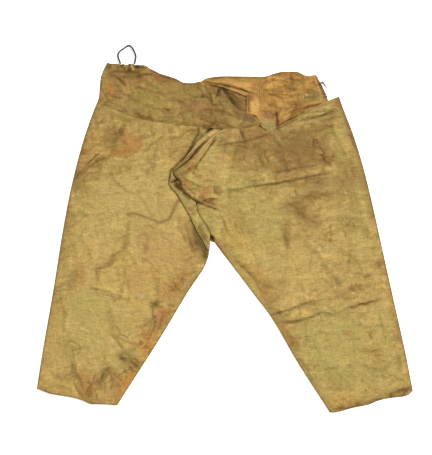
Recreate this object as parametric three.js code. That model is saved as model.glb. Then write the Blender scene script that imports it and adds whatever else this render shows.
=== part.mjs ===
// Old silk trousers laid flat, front up. Millimetres, +Z up, and the cloth rests on Z = 0.
// X runs across the garment and Y from the hems up to the waist. The origin is the middle of
// the footprint. "Left" and "right" are the sides as laid, seen from above.
//
// Each leg is one length of silk folded round its outer edge: a back wall on the table, the fold,
// and a front wall over it. Below the crotch its two long edges are joined, so the leg is a tube.
// The fullness of the crotch is folded over to the left: the gusset lies doubled on the left leg,
// and the right leg's front lies on the gusset. The waistband is folded round the left side.
import * as THREE from "three";

// ---- Cloth -------------------------------------------------------------------------------
const CLOTH = 1.2; // thickness of one layer
const AIR = 0.4; // between two layers that lie on each other
const LAYER = CLOTH + AIR; // height that one layer adds to a stack
const SEAM = 0.5; // between two pieces that are sewn edge to edge
const BACK_WAIST_SEAM = 1; // the same at the back of the waist, where the seam curves most
const FOLD_REACH = (LAYER + CLOTH) / 2; // how far a folded edge bulges past its two walls
const FOLD_STEPS = 4; // facets round a folded edge

// ---- Outline, as laid ----------------------------------------------------------------------
const WAIST_Y = 259; // where the front edges of the legs meet the waistband
const LEFT_CROTCH_Y = -35;
const RIGHT_CROTCH_Y = -12;

// Outer folded edges of the legs.
const LEFT_OUTER = [
  { y: 328, x: -305.5 },
  { y: 294, x: -319 },
  { y: 215, x: -345 },
  { y: 106, x: -372 },
  { y: 4, x: -391 },
  { y: -116, x: -410 },
  { y: -289, x: -440 },
  { y: -363, x: -451.5 },
];
const RIGHT_OUTER = [
  { y: 339, x: 274 },
  { y: 316, x: 282 },
  { y: 242, x: 310 },
  { y: 155, x: 336 },
  { y: 68, x: 357 },
  { y: -36, x: 380 },
  { y: -162, x: 408 },
  { y: -288, x: 436 },
  { y: -368, x: 451.5 },
];
// Inner edge of the left leg's front: under the gusset down to the crotch, then the inseam.
const LEFT_INNER = [
  { y: WAIST_Y, x: 13 },
  { y: 114, x: -24 },
  { y: 4, x: -37 },
  { y: LEFT_CROTCH_Y, x: -38 },
  { y: -61, x: -45 },
  { y: -126, x: -86 },
  { y: -242, x: -156 },
  { y: -319, x: -205 },
  { y: -403, x: -259 },
];
// Inner edge of the right leg's front: the fold over the gusset, its tip, and the inseam.
const RIGHT_INNER = [
  { y: WAIST_Y, x: -1 },
  { y: 246, x: -24 },
  { y: 209, x: -72 },
  { y: 184, x: -98 },
  { y: 159, x: -125 },
  { y: 147, x: -122 },
  { y: 135, x: -110 },
  { y: 124, x: -108 },
  { y: 95, x: -83 },
  { y: 85, x: -70 },
  { y: 62, x: -65 },
  { y: 20, x: -40 },
  { y: 4, x: -34 },
  { y: RIGHT_CROTCH_Y, x: -24 },
  { y: -57, x: 10 },
  { y: -144, x: 76 },
  { y: -186, x: 108 },
  { y: -298, x: 174 },
  { y: -419, x: 252 },
];
// Centre back seam, from the waistband to the crotch.
const BACK_SEAM = [
  { y: 262, x: -7 },
  { y: 130, x: -24 },
  { y: 4, x: -34.5 },
  { y: LEFT_CROTCH_Y, x: -37 },
];
// Waist seam: lower edge of the waistband and upper edge of the leg panels.
const WAIST_SEAM = [
  { x: -306, y: 328 },
  { x: -276, y: 316 },
  { x: -240, y: 300 },
  { x: -204, y: 288 },
  { x: -170, y: 281 },
  { x: -103, y: 273 },
  { x: -50, y: 267 },
  { x: 0, y: 263 },
  { x: 34, y: 263 },
  { x: 84, y: 270 },
];
// Free upper edge of the right leg's front, where the waistband has come away from it.
const RIGHT_TOP = [
  { x: -1, y: 262 },
  { x: 34, y: 261.5 },
  { x: 77, y: 267 },
  { x: 90, y: 262 },
  { x: 104, y: 258 },
  { x: 122, y: 264 },
  { x: 168, y: 286 },
  { x: 206, y: 307 },
  { x: 245, y: 328 },
  { x: 274, y: 339 },
];
// The same seam on the back, covered by the fronts.
const BACK_WAIST = [
  { x: -306, y: 328 },
  { x: -7, y: 262 },
  { x: 95, y: 249 },
  { x: 180, y: 280 },
  { x: 274, y: 339 },
];
const LEFT_HEM = [
  { x: -451.5, y: -363 },
  { x: -418, y: -375 },
  { x: -366, y: -384 },
  { x: -345, y: -390 },
  { x: -317, y: -400 },
  { x: -296, y: -400 },
  { x: -259, y: -403 },
];
const RIGHT_HEM = [
  { x: 252, y: -419 },
  { x: 258, y: -420 },
  { x: 310, y: -408 },
  { x: 345, y: -401 },
  { x: 373, y: -390 },
  { x: 397, y: -385 },
  { x: 436, y: -380 },
  { x: 451.5, y: -368 },
];

// Gusset: its folded edge, seen past the right front's edge, and its open edge under that front.
const GUSSET_FOLD = [
  { y: 256, x: -5 },
  { y: 233, x: -43 },
  { y: 213, x: -77 },
  { y: 184, x: -106 },
  { y: 159, x: -131 },
  { y: 146, x: -134 },
  { y: 132, x: -134 },
  { y: 105, x: -116 },
  { y: 56, x: -87 },
  { y: 13, x: -66 },
  { y: -8, x: -53 },
  { y: -30, x: -42 },
];
const GUSSET_OPEN = [
  { y: 256, x: 12 },
  { y: 191, x: -7 },
  { y: 114, x: -24 },
  { y: 42, x: -34 },
  { y: 4, x: -36 },
  { y: -30, x: -37.5 },
];

// Waistband.
const BAND_TOP = [
  { x: -283, y: 419 },
  { x: -250, y: 416 },
  { x: -211, y: 415 },
  { x: -190, y: 413 },
  { x: -174, y: 400 },
  { x: -146, y: 391 },
  { x: -118, y: 382 },
  { x: -98, y: 372 },
  { x: -79, y: 371 },
  { x: -60, y: 375 },
  { x: -40, y: 369 },
  { x: -14, y: 364 },
  { x: 19, y: 353 },
  { x: 53, y: 339 },
];
const BAND_SIDE = [
  { y: 419, x: -283 },
  { y: 400, x: -293 },
  { y: 385, x: -298 },
  { y: 343, x: -302 },
  { y: 328, x: -305.5 },
];
const BAND_END = [
  { y: 339, x: 53 },
  { y: 304, x: 52 },
  { y: 295, x: 74 },
  { y: 271, x: 84 },
];
const BACK_TOP = [
  { x: -283, y: 419 },
  { x: -190, y: 409 },
  { x: -110, y: 373 },
  { x: -66, y: 371 },
  { x: -51, y: 380 },
  { x: -36, y: 385 },
  { x: 0, y: 388 },
  { x: 94, y: 387 },
  { x: 118, y: 394 },
  { x: 142, y: 399 },
  { x: 170, y: 399 },
  { x: 198, y: 389 },
  { x: 219, y: 391 },
];
const BACK_JOIN_X = 89; // the seam between the two lengths of the back waistband
const BACK_END = [
  { y: 391, x: 219 },
  { y: 380, x: 226 },
  { y: 366, x: 234 },
  { y: 352, x: 242 },
  { y: 324, x: 250 },
];
const TAB_EDGES = [
  { y: 282, left: 96, right: 118 },
  { y: 276, left: 87, right: 123 },
  { y: 268, left: 87, right: 125 },
  { y: 261, left: 94, right: 121 },
  { y: 254, left: 107, right: 112 },
];

// ---- Relief ----------------------------------------------------------------------------------
// Soft ridges, each from one end to the other, with its half-width and height.
const LEFT_FOLDS = [
  { x1: -372, y1: 128, x2: -282, y2: 214, width: 17, rise: 2.4 },
  { x1: -180, y1: 276, x2: -162, y2: 150, width: 17, rise: 1.8 },
  { x1: -330, y1: -112, x2: -235, y2: -146, width: 18, rise: 1.8 },
  { x1: -262, y1: -270, x2: -196, y2: -318, width: 17, rise: 2.4 },
  { x1: -350, y1: -330, x2: -300, y2: -395, width: 18, rise: 2.0 },
];
const RIGHT_FOLDS = [
  { x1: -30, y1: 246, x2: -84, y2: 160, width: 15, rise: 2.0 },
  { x1: -24, y1: 226, x2: 82, y2: 242, width: 14, rise: 2.2 },
  { x1: -66, y1: 92, x2: 10, y2: 98, width: 14, rise: 2.0 },
  { x1: -8, y1: 112, x2: 270, y2: 160, width: 16, rise: 2.2 },
  { x1: 92, y1: -186, x2: 345, y2: -122, width: 17, rise: 2.4 },
  { x1: 100, y1: -216, x2: 410, y2: -142, width: 17, rise: 2.4 },
  { x1: 215, y1: -330, x2: 430, y2: -280, width: 20, rise: 1.6 },
];
const PUFF = 1.2; // how far the front walls stand off the backs in the middle of a leg
const EDGE_SHARE = 0.1; // share of a wall's width over which that dies out
const PUCKERS = 9; // gathers on the drawstring, at the left end of the waistband
const PUCKER_FROM_X = -283;
const PUCKER_TO_X = -187;
const PUCKER_RISE = 2.0;
const PUCKER_DEPTH = 28; // how far down the band the gathers reach
const GUSSET_RAMP = 28; // over which the right front comes down off the gusset
const TAB_STEP = 14; // over which the tab climbs from the band onto the leg's front
const BUNCH = { x: 0, y: 264, across: 34, down: 20, rise: 3.6 }; // the band over the folds

// ---- Drawstring loop -------------------------------------------------------------------------
const CORD_DIAMETER = 4.4;
const CORD_SIDES = 8;
const CORD_ROUTE = [
  { x: -250.5, y: 417.2 },
  { x: -253, y: 424 },
  { x: -256.5, y: 434 },
  { x: -256, y: 442 },
  { x: -250.5, y: 449 },
  { x: -243, y: 454 },
  { x: -236, y: 459.5 },
  { x: -229, y: 461 },
  { x: -223, y: 456 },
  { x: -217.5, y: 446.5 },
  { x: -214, y: 436 },
  { x: -215, y: 427 },
  { x: -217, y: 417.2 },
];
const CORD_STEP = 7;

// ---- Helpers ---------------------------------------------------------------------------------
const { smoothstep, lerp } = THREE.MathUtils;

// A smooth curve through a table's points that never overshoots them (a monotone cubic).
function curve(table, from, to) {
  const rows = [...table].sort((a, b) => a[from] - b[from]);
  const slopes = rows
    .slice(1)
    .map((row, i) => (row[to] - rows[i][to]) / (row[from] - rows[i][from]));
  const tangents = rows.map((_, i) => {
    const before = slopes[i - 1] ?? slopes[0];
    const after = slopes[i] ?? slopes[slopes.length - 1];
    return before * after > 0 ? (2 * before * after) / (before + after) : 0;
  });
  return (value) => {
    const at = THREE.MathUtils.clamp(value, rows[0][from], rows[rows.length - 1][from]);
    const i = Math.min(slopes.length - 1, Math.max(0, rows.findIndex((row) => row[from] >= at) - 1));
    const span = rows[i + 1][from] - rows[i][from];
    const t = (at - rows[i][from]) / span;
    return (
      rows[i][to] * (1 + 2 * t) * (1 - t) ** 2 +
      tangents[i] * span * t * (1 - t) ** 2 +
      rows[i + 1][to] * t * t * (3 - 2 * t) -
      tangents[i + 1] * span * t * t * (1 - t)
    );
  };
}

// Height that a list of soft ridges adds at a point.
function foldHeight(folds, x, y) {
  return folds.reduce((height, { x1, y1, x2, y2, width, rise }) => {
    const length = Math.hypot(x2 - x1, y2 - y1);
    const along = ((x - x1) * (x2 - x1) + (y - y1) * (y2 - y1)) / length ** 2;
    const off = ((x - x1) * (y2 - y1) - (y - y1) * (x2 - x1)) / length;
    const ends = smoothstep(along, 0, 0.25) * smoothstep(1 - along, 0, 0.25);
    return height + rise * ends * Math.exp(-((off / width) ** 2));
  }, 0);
}

// 1 in the middle of a wall and 0 at both its edges.
const awayFromEdges = (share) =>
  smoothstep(share, 0, EDGE_SHARE) * smoothstep(1 - share, 0, EDGE_SHARE);

// A cloth wall from rows of { outer, inner } points, one on each face of the cloth. The first
// `open` columns make the sheet. From row `closedFrom` on, the remaining columns join its two
// long edges, so that it is a tube there.
function clothGeometry(rows, open = rows[0].outer.length, closedFrom = rows.length) {
  const columns = rows[0].outer.length;
  const positions = rows.flatMap(({ outer, inner }) => [...outer, ...inner]);
  const outer = (r, c) => r * 2 * columns + c;
  const inner = (r, c) => outer(r, c) + columns;
  const index = [];
  const quad = (a, b, c, d) => index.push(a, b, c, a, c, d);
  const pairs = (r) => (r >= closedFrom ? columns : open - 1);
  const next = (c) => (c + 1) % columns;
  const rim = (r, from, to, flip) => {
    for (let c = from; c < to; c += 1) {
      const around = [outer(r, c), inner(r, c), inner(r, next(c)), outer(r, next(c))];
      quad(...(flip ? around.reverse() : around));
    }
  };
  for (let r = 0; r < rows.length - 1; r += 1) {
    for (let c = 0; c < pairs(r); c += 1) {
      quad(outer(r, c), outer(r, next(c)), outer(r + 1, next(c)), outer(r + 1, c));
      quad(inner(r, c), inner(r + 1, c), inner(r + 1, next(c)), inner(r, next(c)));
    }
    if (r < closedFrom) {
      quad(outer(r, 0), outer(r + 1, 0), inner(r + 1, 0), inner(r, 0));
      quad(inner(r, open - 1), inner(r + 1, open - 1), outer(r + 1, open - 1), outer(r, open - 1));
    }
  }
  rim(0, 0, pairs(0), false);
  rim(rows.length - 1, 0, pairs(rows.length - 1), true);
  if (closedFrom > 0 && closedFrom < rows.length) rim(closedFrom, open - 1, columns, false);

  const geometry = new THREE.BufferGeometry();
  geometry.setAttribute(
    "position",
    new THREE.Float32BufferAttribute(positions.flatMap((p) => [p.x, p.y, p.z]), 3),
  );
  geometry.setIndex(volume(positions, index) < 0 ? index.reverse() : index);
  geometry.computeVertexNormals();
  return geometry;
}

// Signed volume inside a closed triangle mesh.
function volume(positions, index) {
  let sum = 0;
  for (let i = 0; i < index.length; i += 3) {
    const [a, b, c] = [0, 1, 2].map((k) => positions[index[i + k]]);
    sum += a.dot(b.clone().cross(c));
  }
  return sum / 6;
}

// Points round a folded edge, from the face at height `from` to the face at height `to`.
function foldArc(point, direction, from, to, reach) {
  return Array.from({ length: FOLD_STEPS - 1 }, (_, i) => {
    const angle = (Math.PI * (i + 1)) / FOLD_STEPS;
    return new THREE.Vector3(
      point.x + direction.x * reach * Math.sin(angle),
      point.y + direction.y * reach * Math.sin(angle),
      (from + to) / 2 + ((from - to) / 2) * Math.cos(angle),
    );
  });
}

// One row of cloth folded round an outer edge. `over` runs from the free edge to the fold and
// `under` from the fold back to the free edge. z is the height of each layer's lower face.
function foldedRow(over, under) {
  const lift = (p) => new THREE.Vector3(p.x, p.y, p.z + CLOTH);
  const fold = over[over.length - 1];
  const out = new THREE.Vector3(fold.x - over[0].x, fold.y - over[0].y, 0).normalize();
  const [top, base] = [fold.z, under[0].z];
  const free = under[under.length - 1];
  const back = out.clone().negate();
  const inset = FOLD_REACH - CLOTH;
  return {
    outer: [
      ...over.map(lift),
      ...foldArc(fold, out, top + CLOTH, base, FOLD_REACH),
      ...under,
      ...foldArc(free, back, free.z, over[0].z + CLOTH, FOLD_REACH),
    ],
    inner: [
      ...over,
      ...foldArc(fold, out, top, base + CLOTH, inset),
      ...under.map(lift),
      ...foldArc(free, back, free.z + CLOTH, over[0].z, inset),
    ],
  };
}

// Columns of a folded row that make the open sheet.
const sheetColumns = (over, under) => over + under + FOLD_STEPS - 1;

function clothMesh(name, geometry, material) {
  const mesh = new THREE.Mesh(geometry, material);
  mesh.name = name;
  return mesh;
}

// ---- Materials -------------------------------------------------------------------------------
const silk = (color) => new THREE.MeshStandardMaterial({ color, roughness: 0.72, metalness: 0 });
const legSilk = silk("#b39b5b");
const bandSilk = silk("#a58c50");
const innerSilk = silk("#c0914c");
const gussetSilk = silk("#ab9a5c");
const cordSilk = silk("#4b3a2b");

// ---- Legs ------------------------------------------------------------------------------------
const gussetFold = curve(GUSSET_FOLD, "y", "x");
const gussetOpen = curve(GUSSET_OPEN, "y", "x");

// Heights of the two legs' front walls, each over what it lies on.
function leftFrontHeight(x, y, share) {
  const clearOfGusset = smoothstep(gussetFold(y) - x, 4, 60);
  const loose = lerp(1, clearOfGusset, smoothstep(y, -90, -40));
  return LAYER + awayFromEdges(share) * loose * (PUFF + foldHeight(LEFT_FOLDS, x, y));
}
function rightFrontHeight(x, y, share) {
  const onGusset = 1 - smoothstep(x, gussetOpen(y) + 3, gussetOpen(y) + GUSSET_RAMP);
  const stack = 3 * LAYER * onGusset * smoothstep(y, -16, 5);
  return LAYER + stack + awayFromEdges(share) * (PUFF + foldHeight(RIGHT_FOLDS, x, y));
}

// Pulls a row's straight line onto the waist or hem curve, dying out along the leg.
const fitted = (edge, start, end, share, fade) => {
  const x = lerp(start.x, end.x, share);
  return (edge(x) - lerp(start.y, end.y, share)) * fade;
};

// A leg from its edge tables. Each station gives the y of the row on the inner edge, on the outer
// fold and on the back's free edge, and the number of rows down to the next station.
function leg({ name, inner, outer, back, top, backTop, hem, stations, closedAt, height }) {
  const frontSteps = 20;
  const backSteps = 10;
  const [innerX, outerX, backX] = [inner, outer, back].map((edge) => curve(edge, "y", "x"));
  const [topY, backTopY, hemY] = [top, backTop, hem].map((edge) => curve(edge, "x", "y"));
  const side = Math.sign(outerX(0));
  const rows = stations.slice(0, -1).flatMap((station, s) =>
    Array.from({ length: station.rows }, (_, i) => {
      const to = (key) => lerp(station[key], stations[s + 1][key], i / station.rows);
      return { inner: to("inner"), outer: to("outer"), back: to("back") };
    }),
  );
  rows.push(stations[stations.length - 1]);
  const ends = (row) => ({
    front: new THREE.Vector2(innerX(row.inner), row.inner),
    fold: new THREE.Vector2(outerX(row.outer) - side * FOLD_REACH, row.outer),
    back: new THREE.Vector2(row.back < closedAt ? innerX(row.inner) : backX(row.back), row.back),
  });
  const first = ends(rows[0]);
  const last = ends(rows[rows.length - 1]);
  const closedFrom = rows.findIndex((row) => row.back < closedAt);
  const wall = (r, steps, free, fitTop, z) => {
    const edge = ends(rows[r]);
    const down = r / (rows.length - 1);
    const closed = r >= closedFrom ? side * FOLD_REACH : 0;
    const start = new THREE.Vector2(edge[free].x + closed, edge[free].y);
    return Array.from({ length: steps + 1 }, (_, c) => {
      const share = (c / steps) ** (free === "front" ? 1.3 : 1);
      const x = lerp(start.x, edge.fold.x, share);
      const y =
        lerp(start.y, edge.fold.y, share) +
        fitted(fitTop, first[free], first.fold, share, 1 - smoothstep(down, 0, 0.3)) +
        fitted(hemY, last[free], last.fold, share, smoothstep(down, 0.8, 1));
      return new THREE.Vector3(x, y, z(x, y, share));
    });
  };
  const made = rows.map((_, r) =>
    foldedRow(
      wall(r, frontSteps, "front", topY, height),
      wall(r, backSteps, "back", backTopY, () => 0).reverse(),
    ),
  );
  const open = sheetColumns(frontSteps + 1, backSteps + 1);
  return clothMesh(name, clothGeometry(made, open, closedFrom), legSilk);
}

const offsetEdge = (edge, by) => edge.map(({ y, x }) => ({ y, x: x + by }));
const lowered = (edge, by) => edge.map(({ x, y }) => ({ x, y: y - by }));

const legLeft = leg({
  name: "leg_left",
  inner: LEFT_INNER,
  outer: LEFT_OUTER,
  back: offsetEdge(BACK_SEAM, -SEAM / 2),
  top: lowered(WAIST_SEAM, SEAM),
  backTop: lowered(BACK_WAIST, BACK_WAIST_SEAM),
  hem: LEFT_HEM,
  closedAt: LEFT_CROTCH_Y + 1,
  height: leftFrontHeight,
  stations: [
    { inner: WAIST_Y, outer: 327.5, back: 262, rows: 12 },
    { inner: LEFT_CROTCH_Y, outer: 60, back: LEFT_CROTCH_Y, rows: 16 },
    { inner: -403, outer: -363, back: -403 },
  ],
});

const legRight = leg({
  name: "leg_right",
  inner: RIGHT_INNER,
  outer: RIGHT_OUTER,
  back: offsetEdge(BACK_SEAM, SEAM / 2),
  top: RIGHT_TOP,
  backTop: lowered(BACK_WAIST, BACK_WAIST_SEAM),
  hem: RIGHT_HEM,
  closedAt: RIGHT_CROTCH_Y + 1,
  height: rightFrontHeight,
  stations: [
    { inner: WAIST_Y, outer: 339, back: 262, rows: 5 }, // waist
    { inner: 159, outer: 254, back: 172, rows: 2 }, // tip of the fold
    { inner: 135, outer: 232, back: 150, rows: 4 }, // notch under the tip
    { inner: 85, outer: 158, back: 92, rows: 5 }, // where the fold runs out
    { inner: RIGHT_CROTCH_Y, outer: 66, back: RIGHT_CROTCH_Y, rows: 16 }, // crotch
    { inner: -419, outer: -368, back: -419 }, // hem
  ],
});

// ---- Gusset ----------------------------------------------------------------------------------
function gusset() {
  const rowYs = GUSSET_FOLD.slice(0, -1).flatMap(({ y }, i) => [
    y,
    (y + GUSSET_FOLD[i + 1].y) / 2,
  ]);
  rowYs.push(GUSSET_FOLD[GUSSET_FOLD.length - 1].y);
  const steps = 4;
  const rows = rowYs.map((y) => {
    const wall = (z) =>
      Array.from({ length: steps + 1 }, (_, c) => {
        const x = lerp(gussetOpen(y), gussetFold(y) + FOLD_REACH, c / steps);
        return new THREE.Vector3(x, y, z);
      });
    return foldedRow(wall(3 * LAYER), wall(2 * LAYER).reverse());
  });
  const open = sheetColumns(steps + 1, steps + 1);
  return clothMesh("crotch_gusset", clothGeometry(rows, open), gussetSilk);
}

// ---- Waistband -------------------------------------------------------------------------------
const waistSeam = curve(WAIST_SEAM, "x", "y");
const backWaist = curve(BACK_WAIST, "x", "y");
const bandTop = curve(BAND_TOP, "x", "y");
const backTop = curve(BACK_TOP, "x", "y");

// 1 on top of a gather, 0 between two and away from the drawstring.
function pucker(x) {
  const share = (x - PUCKER_FROM_X) / (PUCKER_TO_X - PUCKER_FROM_X);
  return share > 0 && share < 1 ? (1 - Math.cos(2 * Math.PI * PUCKERS * share)) / 2 : 0;
}
function bandHeight(x, y, top) {
  const gathers = PUCKER_RISE * pucker(x) * smoothstep(y, top - PUCKER_DEPTH, top);
  const bunch =
    BUNCH.rise *
    Math.exp(-(((x - BUNCH.x) / BUNCH.across) ** 2)) *
    Math.exp(-(((y - BUNCH.y) / BUNCH.down) ** 2));
  return LAYER + gathers + bunch;
}

function waistband() {
  const [side, end] = [BAND_SIDE, BAND_END].map((edge) => curve(edge, "y", "x"));
  const rowShares = [0, 0.2, 0.37, 0.5, 0.66, 0.8, 0.9, 1];
  const plainSteps = 16;
  const gatherSteps = PUCKERS * 4;
  const backSteps = 14;
  const gatherShare = (53 - PUCKER_TO_X) / (53 - PUCKER_FROM_X);
  const frontShares = [
    ...Array.from({ length: plainSteps }, (_, i) => (gatherShare * i) / plainSteps),
    ...Array.from({ length: gatherSteps + 1 }, (_, i) =>
      lerp(gatherShare, 1, i / gatherSteps),
    ),
  ];
  const rows = rowShares.map((up) => {
    const foldX = side(lerp(328, 419, up)) + FOLD_REACH;
    const over = frontShares.map((share) => {
      const x = lerp(end(lerp(271, 339, up)), foldX, share);
      const top = bandTop(x) + 1.2 * pucker(x);
      const y = lerp(waistSeam(x), top, up);
      return new THREE.Vector3(x, y, bandHeight(x, y, top));
    });
    const under = Array.from({ length: backSteps + 1 }, (_, i) => {
      const x = lerp(foldX, BACK_JOIN_X - SEAM / 2, i / backSteps);
      return new THREE.Vector3(x, lerp(backWaist(x), backTop(x), up), 0);
    });
    return foldedRow(over, under);
  });
  const open = sheetColumns(frontShares.length, backSteps + 1);
  return clothMesh("waistband", clothGeometry(rows, open), bandSilk);
}

// The second length of the back waistband, right of its seam, with its inner side showing.
function waistbandEnd() {
  const end = curve(BACK_END, "y", "x");
  const [rowSteps, steps] = [6, 12];
  const rows = Array.from({ length: rowSteps + 1 }, (_, r) => {
    const up = r / rowSteps;
    const face = (z) =>
      Array.from({ length: steps + 1 }, (__, c) => {
        const x = lerp(BACK_JOIN_X + SEAM / 2, end(lerp(324, 391, up)), c / steps);
        return new THREE.Vector3(x, lerp(backWaist(x), backTop(x), up), z);
      });
    return { outer: face(CLOTH), inner: face(0) };
  });
  return clothMesh("waistband_back_end", clothGeometry(rows), innerSilk);
}

// A torn end of the band that hangs over the top of the right leg.
function tab() {
  const steps = 4;
  const topY = TAB_EDGES[0].y;
  const rows = TAB_EDGES.map(({ y, left, right }) => {
    const base = lerp(LAYER, 2 * LAYER + PUFF, smoothstep(topY - y, 0, TAB_STEP));
    const face = (z) =>
      Array.from({ length: steps + 1 }, (_, c) =>
        new THREE.Vector3(lerp(left, right, c / steps), y, z),
      );
    return { outer: face(base + CLOTH), inner: face(base) };
  });
  return clothMesh("waistband_tab", clothGeometry(rows), gussetSilk);
}

// ---- Drawstring loop -------------------------------------------------------------------------
function drawstring() {
  const height = CORD_DIAMETER / 2 + 0.05;
  const route = new THREE.CatmullRomCurve3(
    CORD_ROUTE.map(({ x, y }) => new THREE.Vector3(x, y, height)),
    false,
    "centripetal",
  );
  const section = new THREE.Shape(
    Array.from({ length: CORD_SIDES }, (_, i) => {
      const angle = (2 * Math.PI * i) / CORD_SIDES;
      const radius = CORD_DIAMETER / 2;
      return new THREE.Vector2(radius * Math.cos(angle), radius * Math.sin(angle));
    }),
  );
  const geometry = new THREE.ExtrudeGeometry(section, {
    steps: Math.round(route.getLength() / CORD_STEP),
    extrudePath: route,
  });
  return clothMesh("drawstring_loop", geometry, cordSilk);
}

const trousers = new THREE.Group();
trousers.name = "silk_trousers";
trousers.add(legLeft, legRight, gusset(), waistband(), waistbandEnd(), tab(), drawstring());
export default trousers;
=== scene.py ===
# Old silk trousers laid flat, front up: stained, creased, and coming apart at the waist.
# Metres, +Z up, in the part's frame: X runs across the garment, Y from the hems up to the waist,
# and the cloth rests on z = 0. "Left" and "right" are the sides as laid, seen from above.
import math
import bpy
import numpy as np
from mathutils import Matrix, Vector
from mathutils.bvhtree import BVHTree


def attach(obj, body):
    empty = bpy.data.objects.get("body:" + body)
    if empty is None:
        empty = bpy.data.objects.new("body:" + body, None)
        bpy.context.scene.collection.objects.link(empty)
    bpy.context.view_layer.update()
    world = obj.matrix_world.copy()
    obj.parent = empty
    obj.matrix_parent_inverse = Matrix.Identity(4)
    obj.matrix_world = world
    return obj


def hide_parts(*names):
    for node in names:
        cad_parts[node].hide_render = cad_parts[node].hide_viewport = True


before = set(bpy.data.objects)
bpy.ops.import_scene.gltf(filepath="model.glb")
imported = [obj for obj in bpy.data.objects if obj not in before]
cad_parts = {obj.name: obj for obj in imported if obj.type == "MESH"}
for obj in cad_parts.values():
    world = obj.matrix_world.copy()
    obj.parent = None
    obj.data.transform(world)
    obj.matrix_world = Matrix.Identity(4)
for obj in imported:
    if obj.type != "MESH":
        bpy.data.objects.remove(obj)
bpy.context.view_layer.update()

# ---- Cloth -------------------------------------------------------------------------------
WALL = 0.0007  # thickness of the silk
LAYER = 0.0016  # height that one layer adds to a stack
ON_LAYER = 0.0006  # middle of the silk, above the foot of its layer
ON_TABLE = WALL / 2
FOLD_REACH = 0.0013  # how far a folded edge bulges
FOLD_ANGLES = np.radians([20, 50, 78, 102, 130, 160])
SHARP_RIM = math.radians(55)
PUFF = 0.0012  # how far the front walls stand off the backs in the middle of a leg
EDGE_SHARE = 0.1  # share of a wall's width over which that dies out
WRINKLES_IN_A_SQUARE_METRE = 3600
FINEST_LINE = 0.0018
CLEARANCE = 0.0002
MM = 0.001  # the marks are in millimetres
SEAM_OVERLAP = 0.0022
SEAM_DIP = 0.0002
TOP_TUCK = 0.0005  # how far the left leg's top edge stops short of the waist seam

# Seeds of the noise, one for each use.
SEED = dict(
    crease_waver=35, crease_width=5, crease_shade_and_dirt=6, ragged=31, line_waver=33, edge_wear_and_shade=41,
    left_leg=100, right_leg=200, gusset=300, band=400, band_back=430, band_inside=450,
    end_outside=470, tab=500, left_relief=1, right_relief=2, band_relief=3, end_relief=4,
    gusset_relief=9, tab_relief=10, gusset_wave=61, gather=8, gather_reach=9, gather_fray=12,
    torn=46, torn_dirt=47, tab_shear=71, tab_wave=72, tab_green=73, tab_fray=74, tab_brown=75,
    cord=3, lift=17)
BACK_SEED = 50  # added to a leg's seed for its back, and for its inner side
INSIDE_SEED = 80

# ---- Relief of the silk: heights, sizes and shares ---------------------------------------
WAVER = 0.0014  # how far a line of dirt or a crease strays from its path
CREASE_WAVER_SIZE = 0.013
LINE_WAVER_SIZE = 0.010
CREASE_FADE = 0.2  # share of its length over which a crease dies out at each end
FOLD_FADE = 0.25
LINE_FADE = 0.12
CREASE_UNEVEN = 0.35
CREASE_UNEVEN_SIZE = 0.017
CREASE_FOOT = 0.8  # where a crease's dark line lies, as a share of its narrow side
CREASE_LINE = 0.7  # where a crease's line of painted shade lies, as a share of its narrow side
CREASE_SHADE_AND_DIRT = (0.9, 0.4, 0.012)  # mean, unevenness and size of the painted shade and dirt in a crease
WEFT_BEND = (0.010, 0.045)  # how far the threads wander, and over what length
WEFT_WOBBLE = (0.004, 0.016)
RIPPLE_RISE = 0.0002
RIPPLE_SIZE = 0.009
RIPPLE_LENGTH = 0.35  # below 1, ripples are longer along the weft
NET_DEPTH = 0.0003
NET_SIZE = 0.034
NET_PATCH = 0.07
NET_WHERE = (-0.5, 0.5)  # the net shows where its patches' noise is in or above this
NET_STEEPNESS = 3.2
FINE_NET_DEPTH = 0.0002
FINE_NET_SIZE = 0.020
FINE_NET_PATCH = 0.05
FINE_NET_WHERE = (-0.3, 0.5)
FINE_NET_STEEPNESS = 4.2
WAVE_RISE = 0.00045
WAVE_SIZE = 0.046
WRINKLE_RISE = 0.00050
WRINKLE_SHARE = (0.3, 1.0)  # of that rise
WRINKLE_BOX = 1.6  # half-lengths within which a wrinkle is reckoned
WRINKLE_HALF_LENGTH = (0.007, 0.028)
WRINKLE_HALF_WIDTH = (0.0019, 0.0036)
WRINKLE_CURVE = 9  # per metre
WRINKLE_TURN = 17  # degrees
UPRIGHT_SHARE = 0.22  # share of the wrinkles that run along the warp
WRINKLE_WAVER = (0.0012, 0.0042, 900)  # reach, length, and how the phase goes with the place
# how strongly a wrinkle's ridge is painted lighter and its trough painted darker
WRINKLE_SHADING = 0.9

# ---- Wear and painted light: how strongly dirt, rubbing, painted shade and highlight show ---
EDGE_SHADE = 0.26  # painted shade on the folded edges, where the silk turns away from the light
# painted highlight on the ripples' crests, painted shade in their troughs and in the nets
RIPPLE_HIGHLIGHT = 0.55
RIPPLE_SHADE = 0.60
NET_SHADE = 0.42
FINE_NET_SHADE = 0.45
STREAK_LENGTH = 6  # a streak's length over its width
WEFT_STREAK = (0.35, 0.005)  # strength, width
WARP_STREAK = (0.45, 0.006)
STREAK_RANGE = (0.1, 0.8)
RAGGED_SIZE = 0.016
BLOT_RAGGED = 0.38
BLOT_EDGE = (0.35, 1.25)  # a blot dies out between these shares of its half-lengths
LINE_STRENGTH = (0.95, 0.45)  # mean, unevenness
LINE_RAGGED = 0.3
LINE_END = 0.4  # what is left of a line at its very ends
# Worn edges of a leg, browner, and painted shade as a thin dark line at the very edge,
# as (strength, reach): along its sides and above its hem.
EDGE_WEAR_AND_SHADE = (0.8, 0.6, 0.03)  # mean, unevenness, size, for the wear and the painted shade alike
SIDE_BROWN = (0.42, 0.018)
SIDE_SHADE = (0.55, 0.006)
HEM_RED = (0.30, 0.012)
HEM_SHADE = (0.60, 0.0028)

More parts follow.
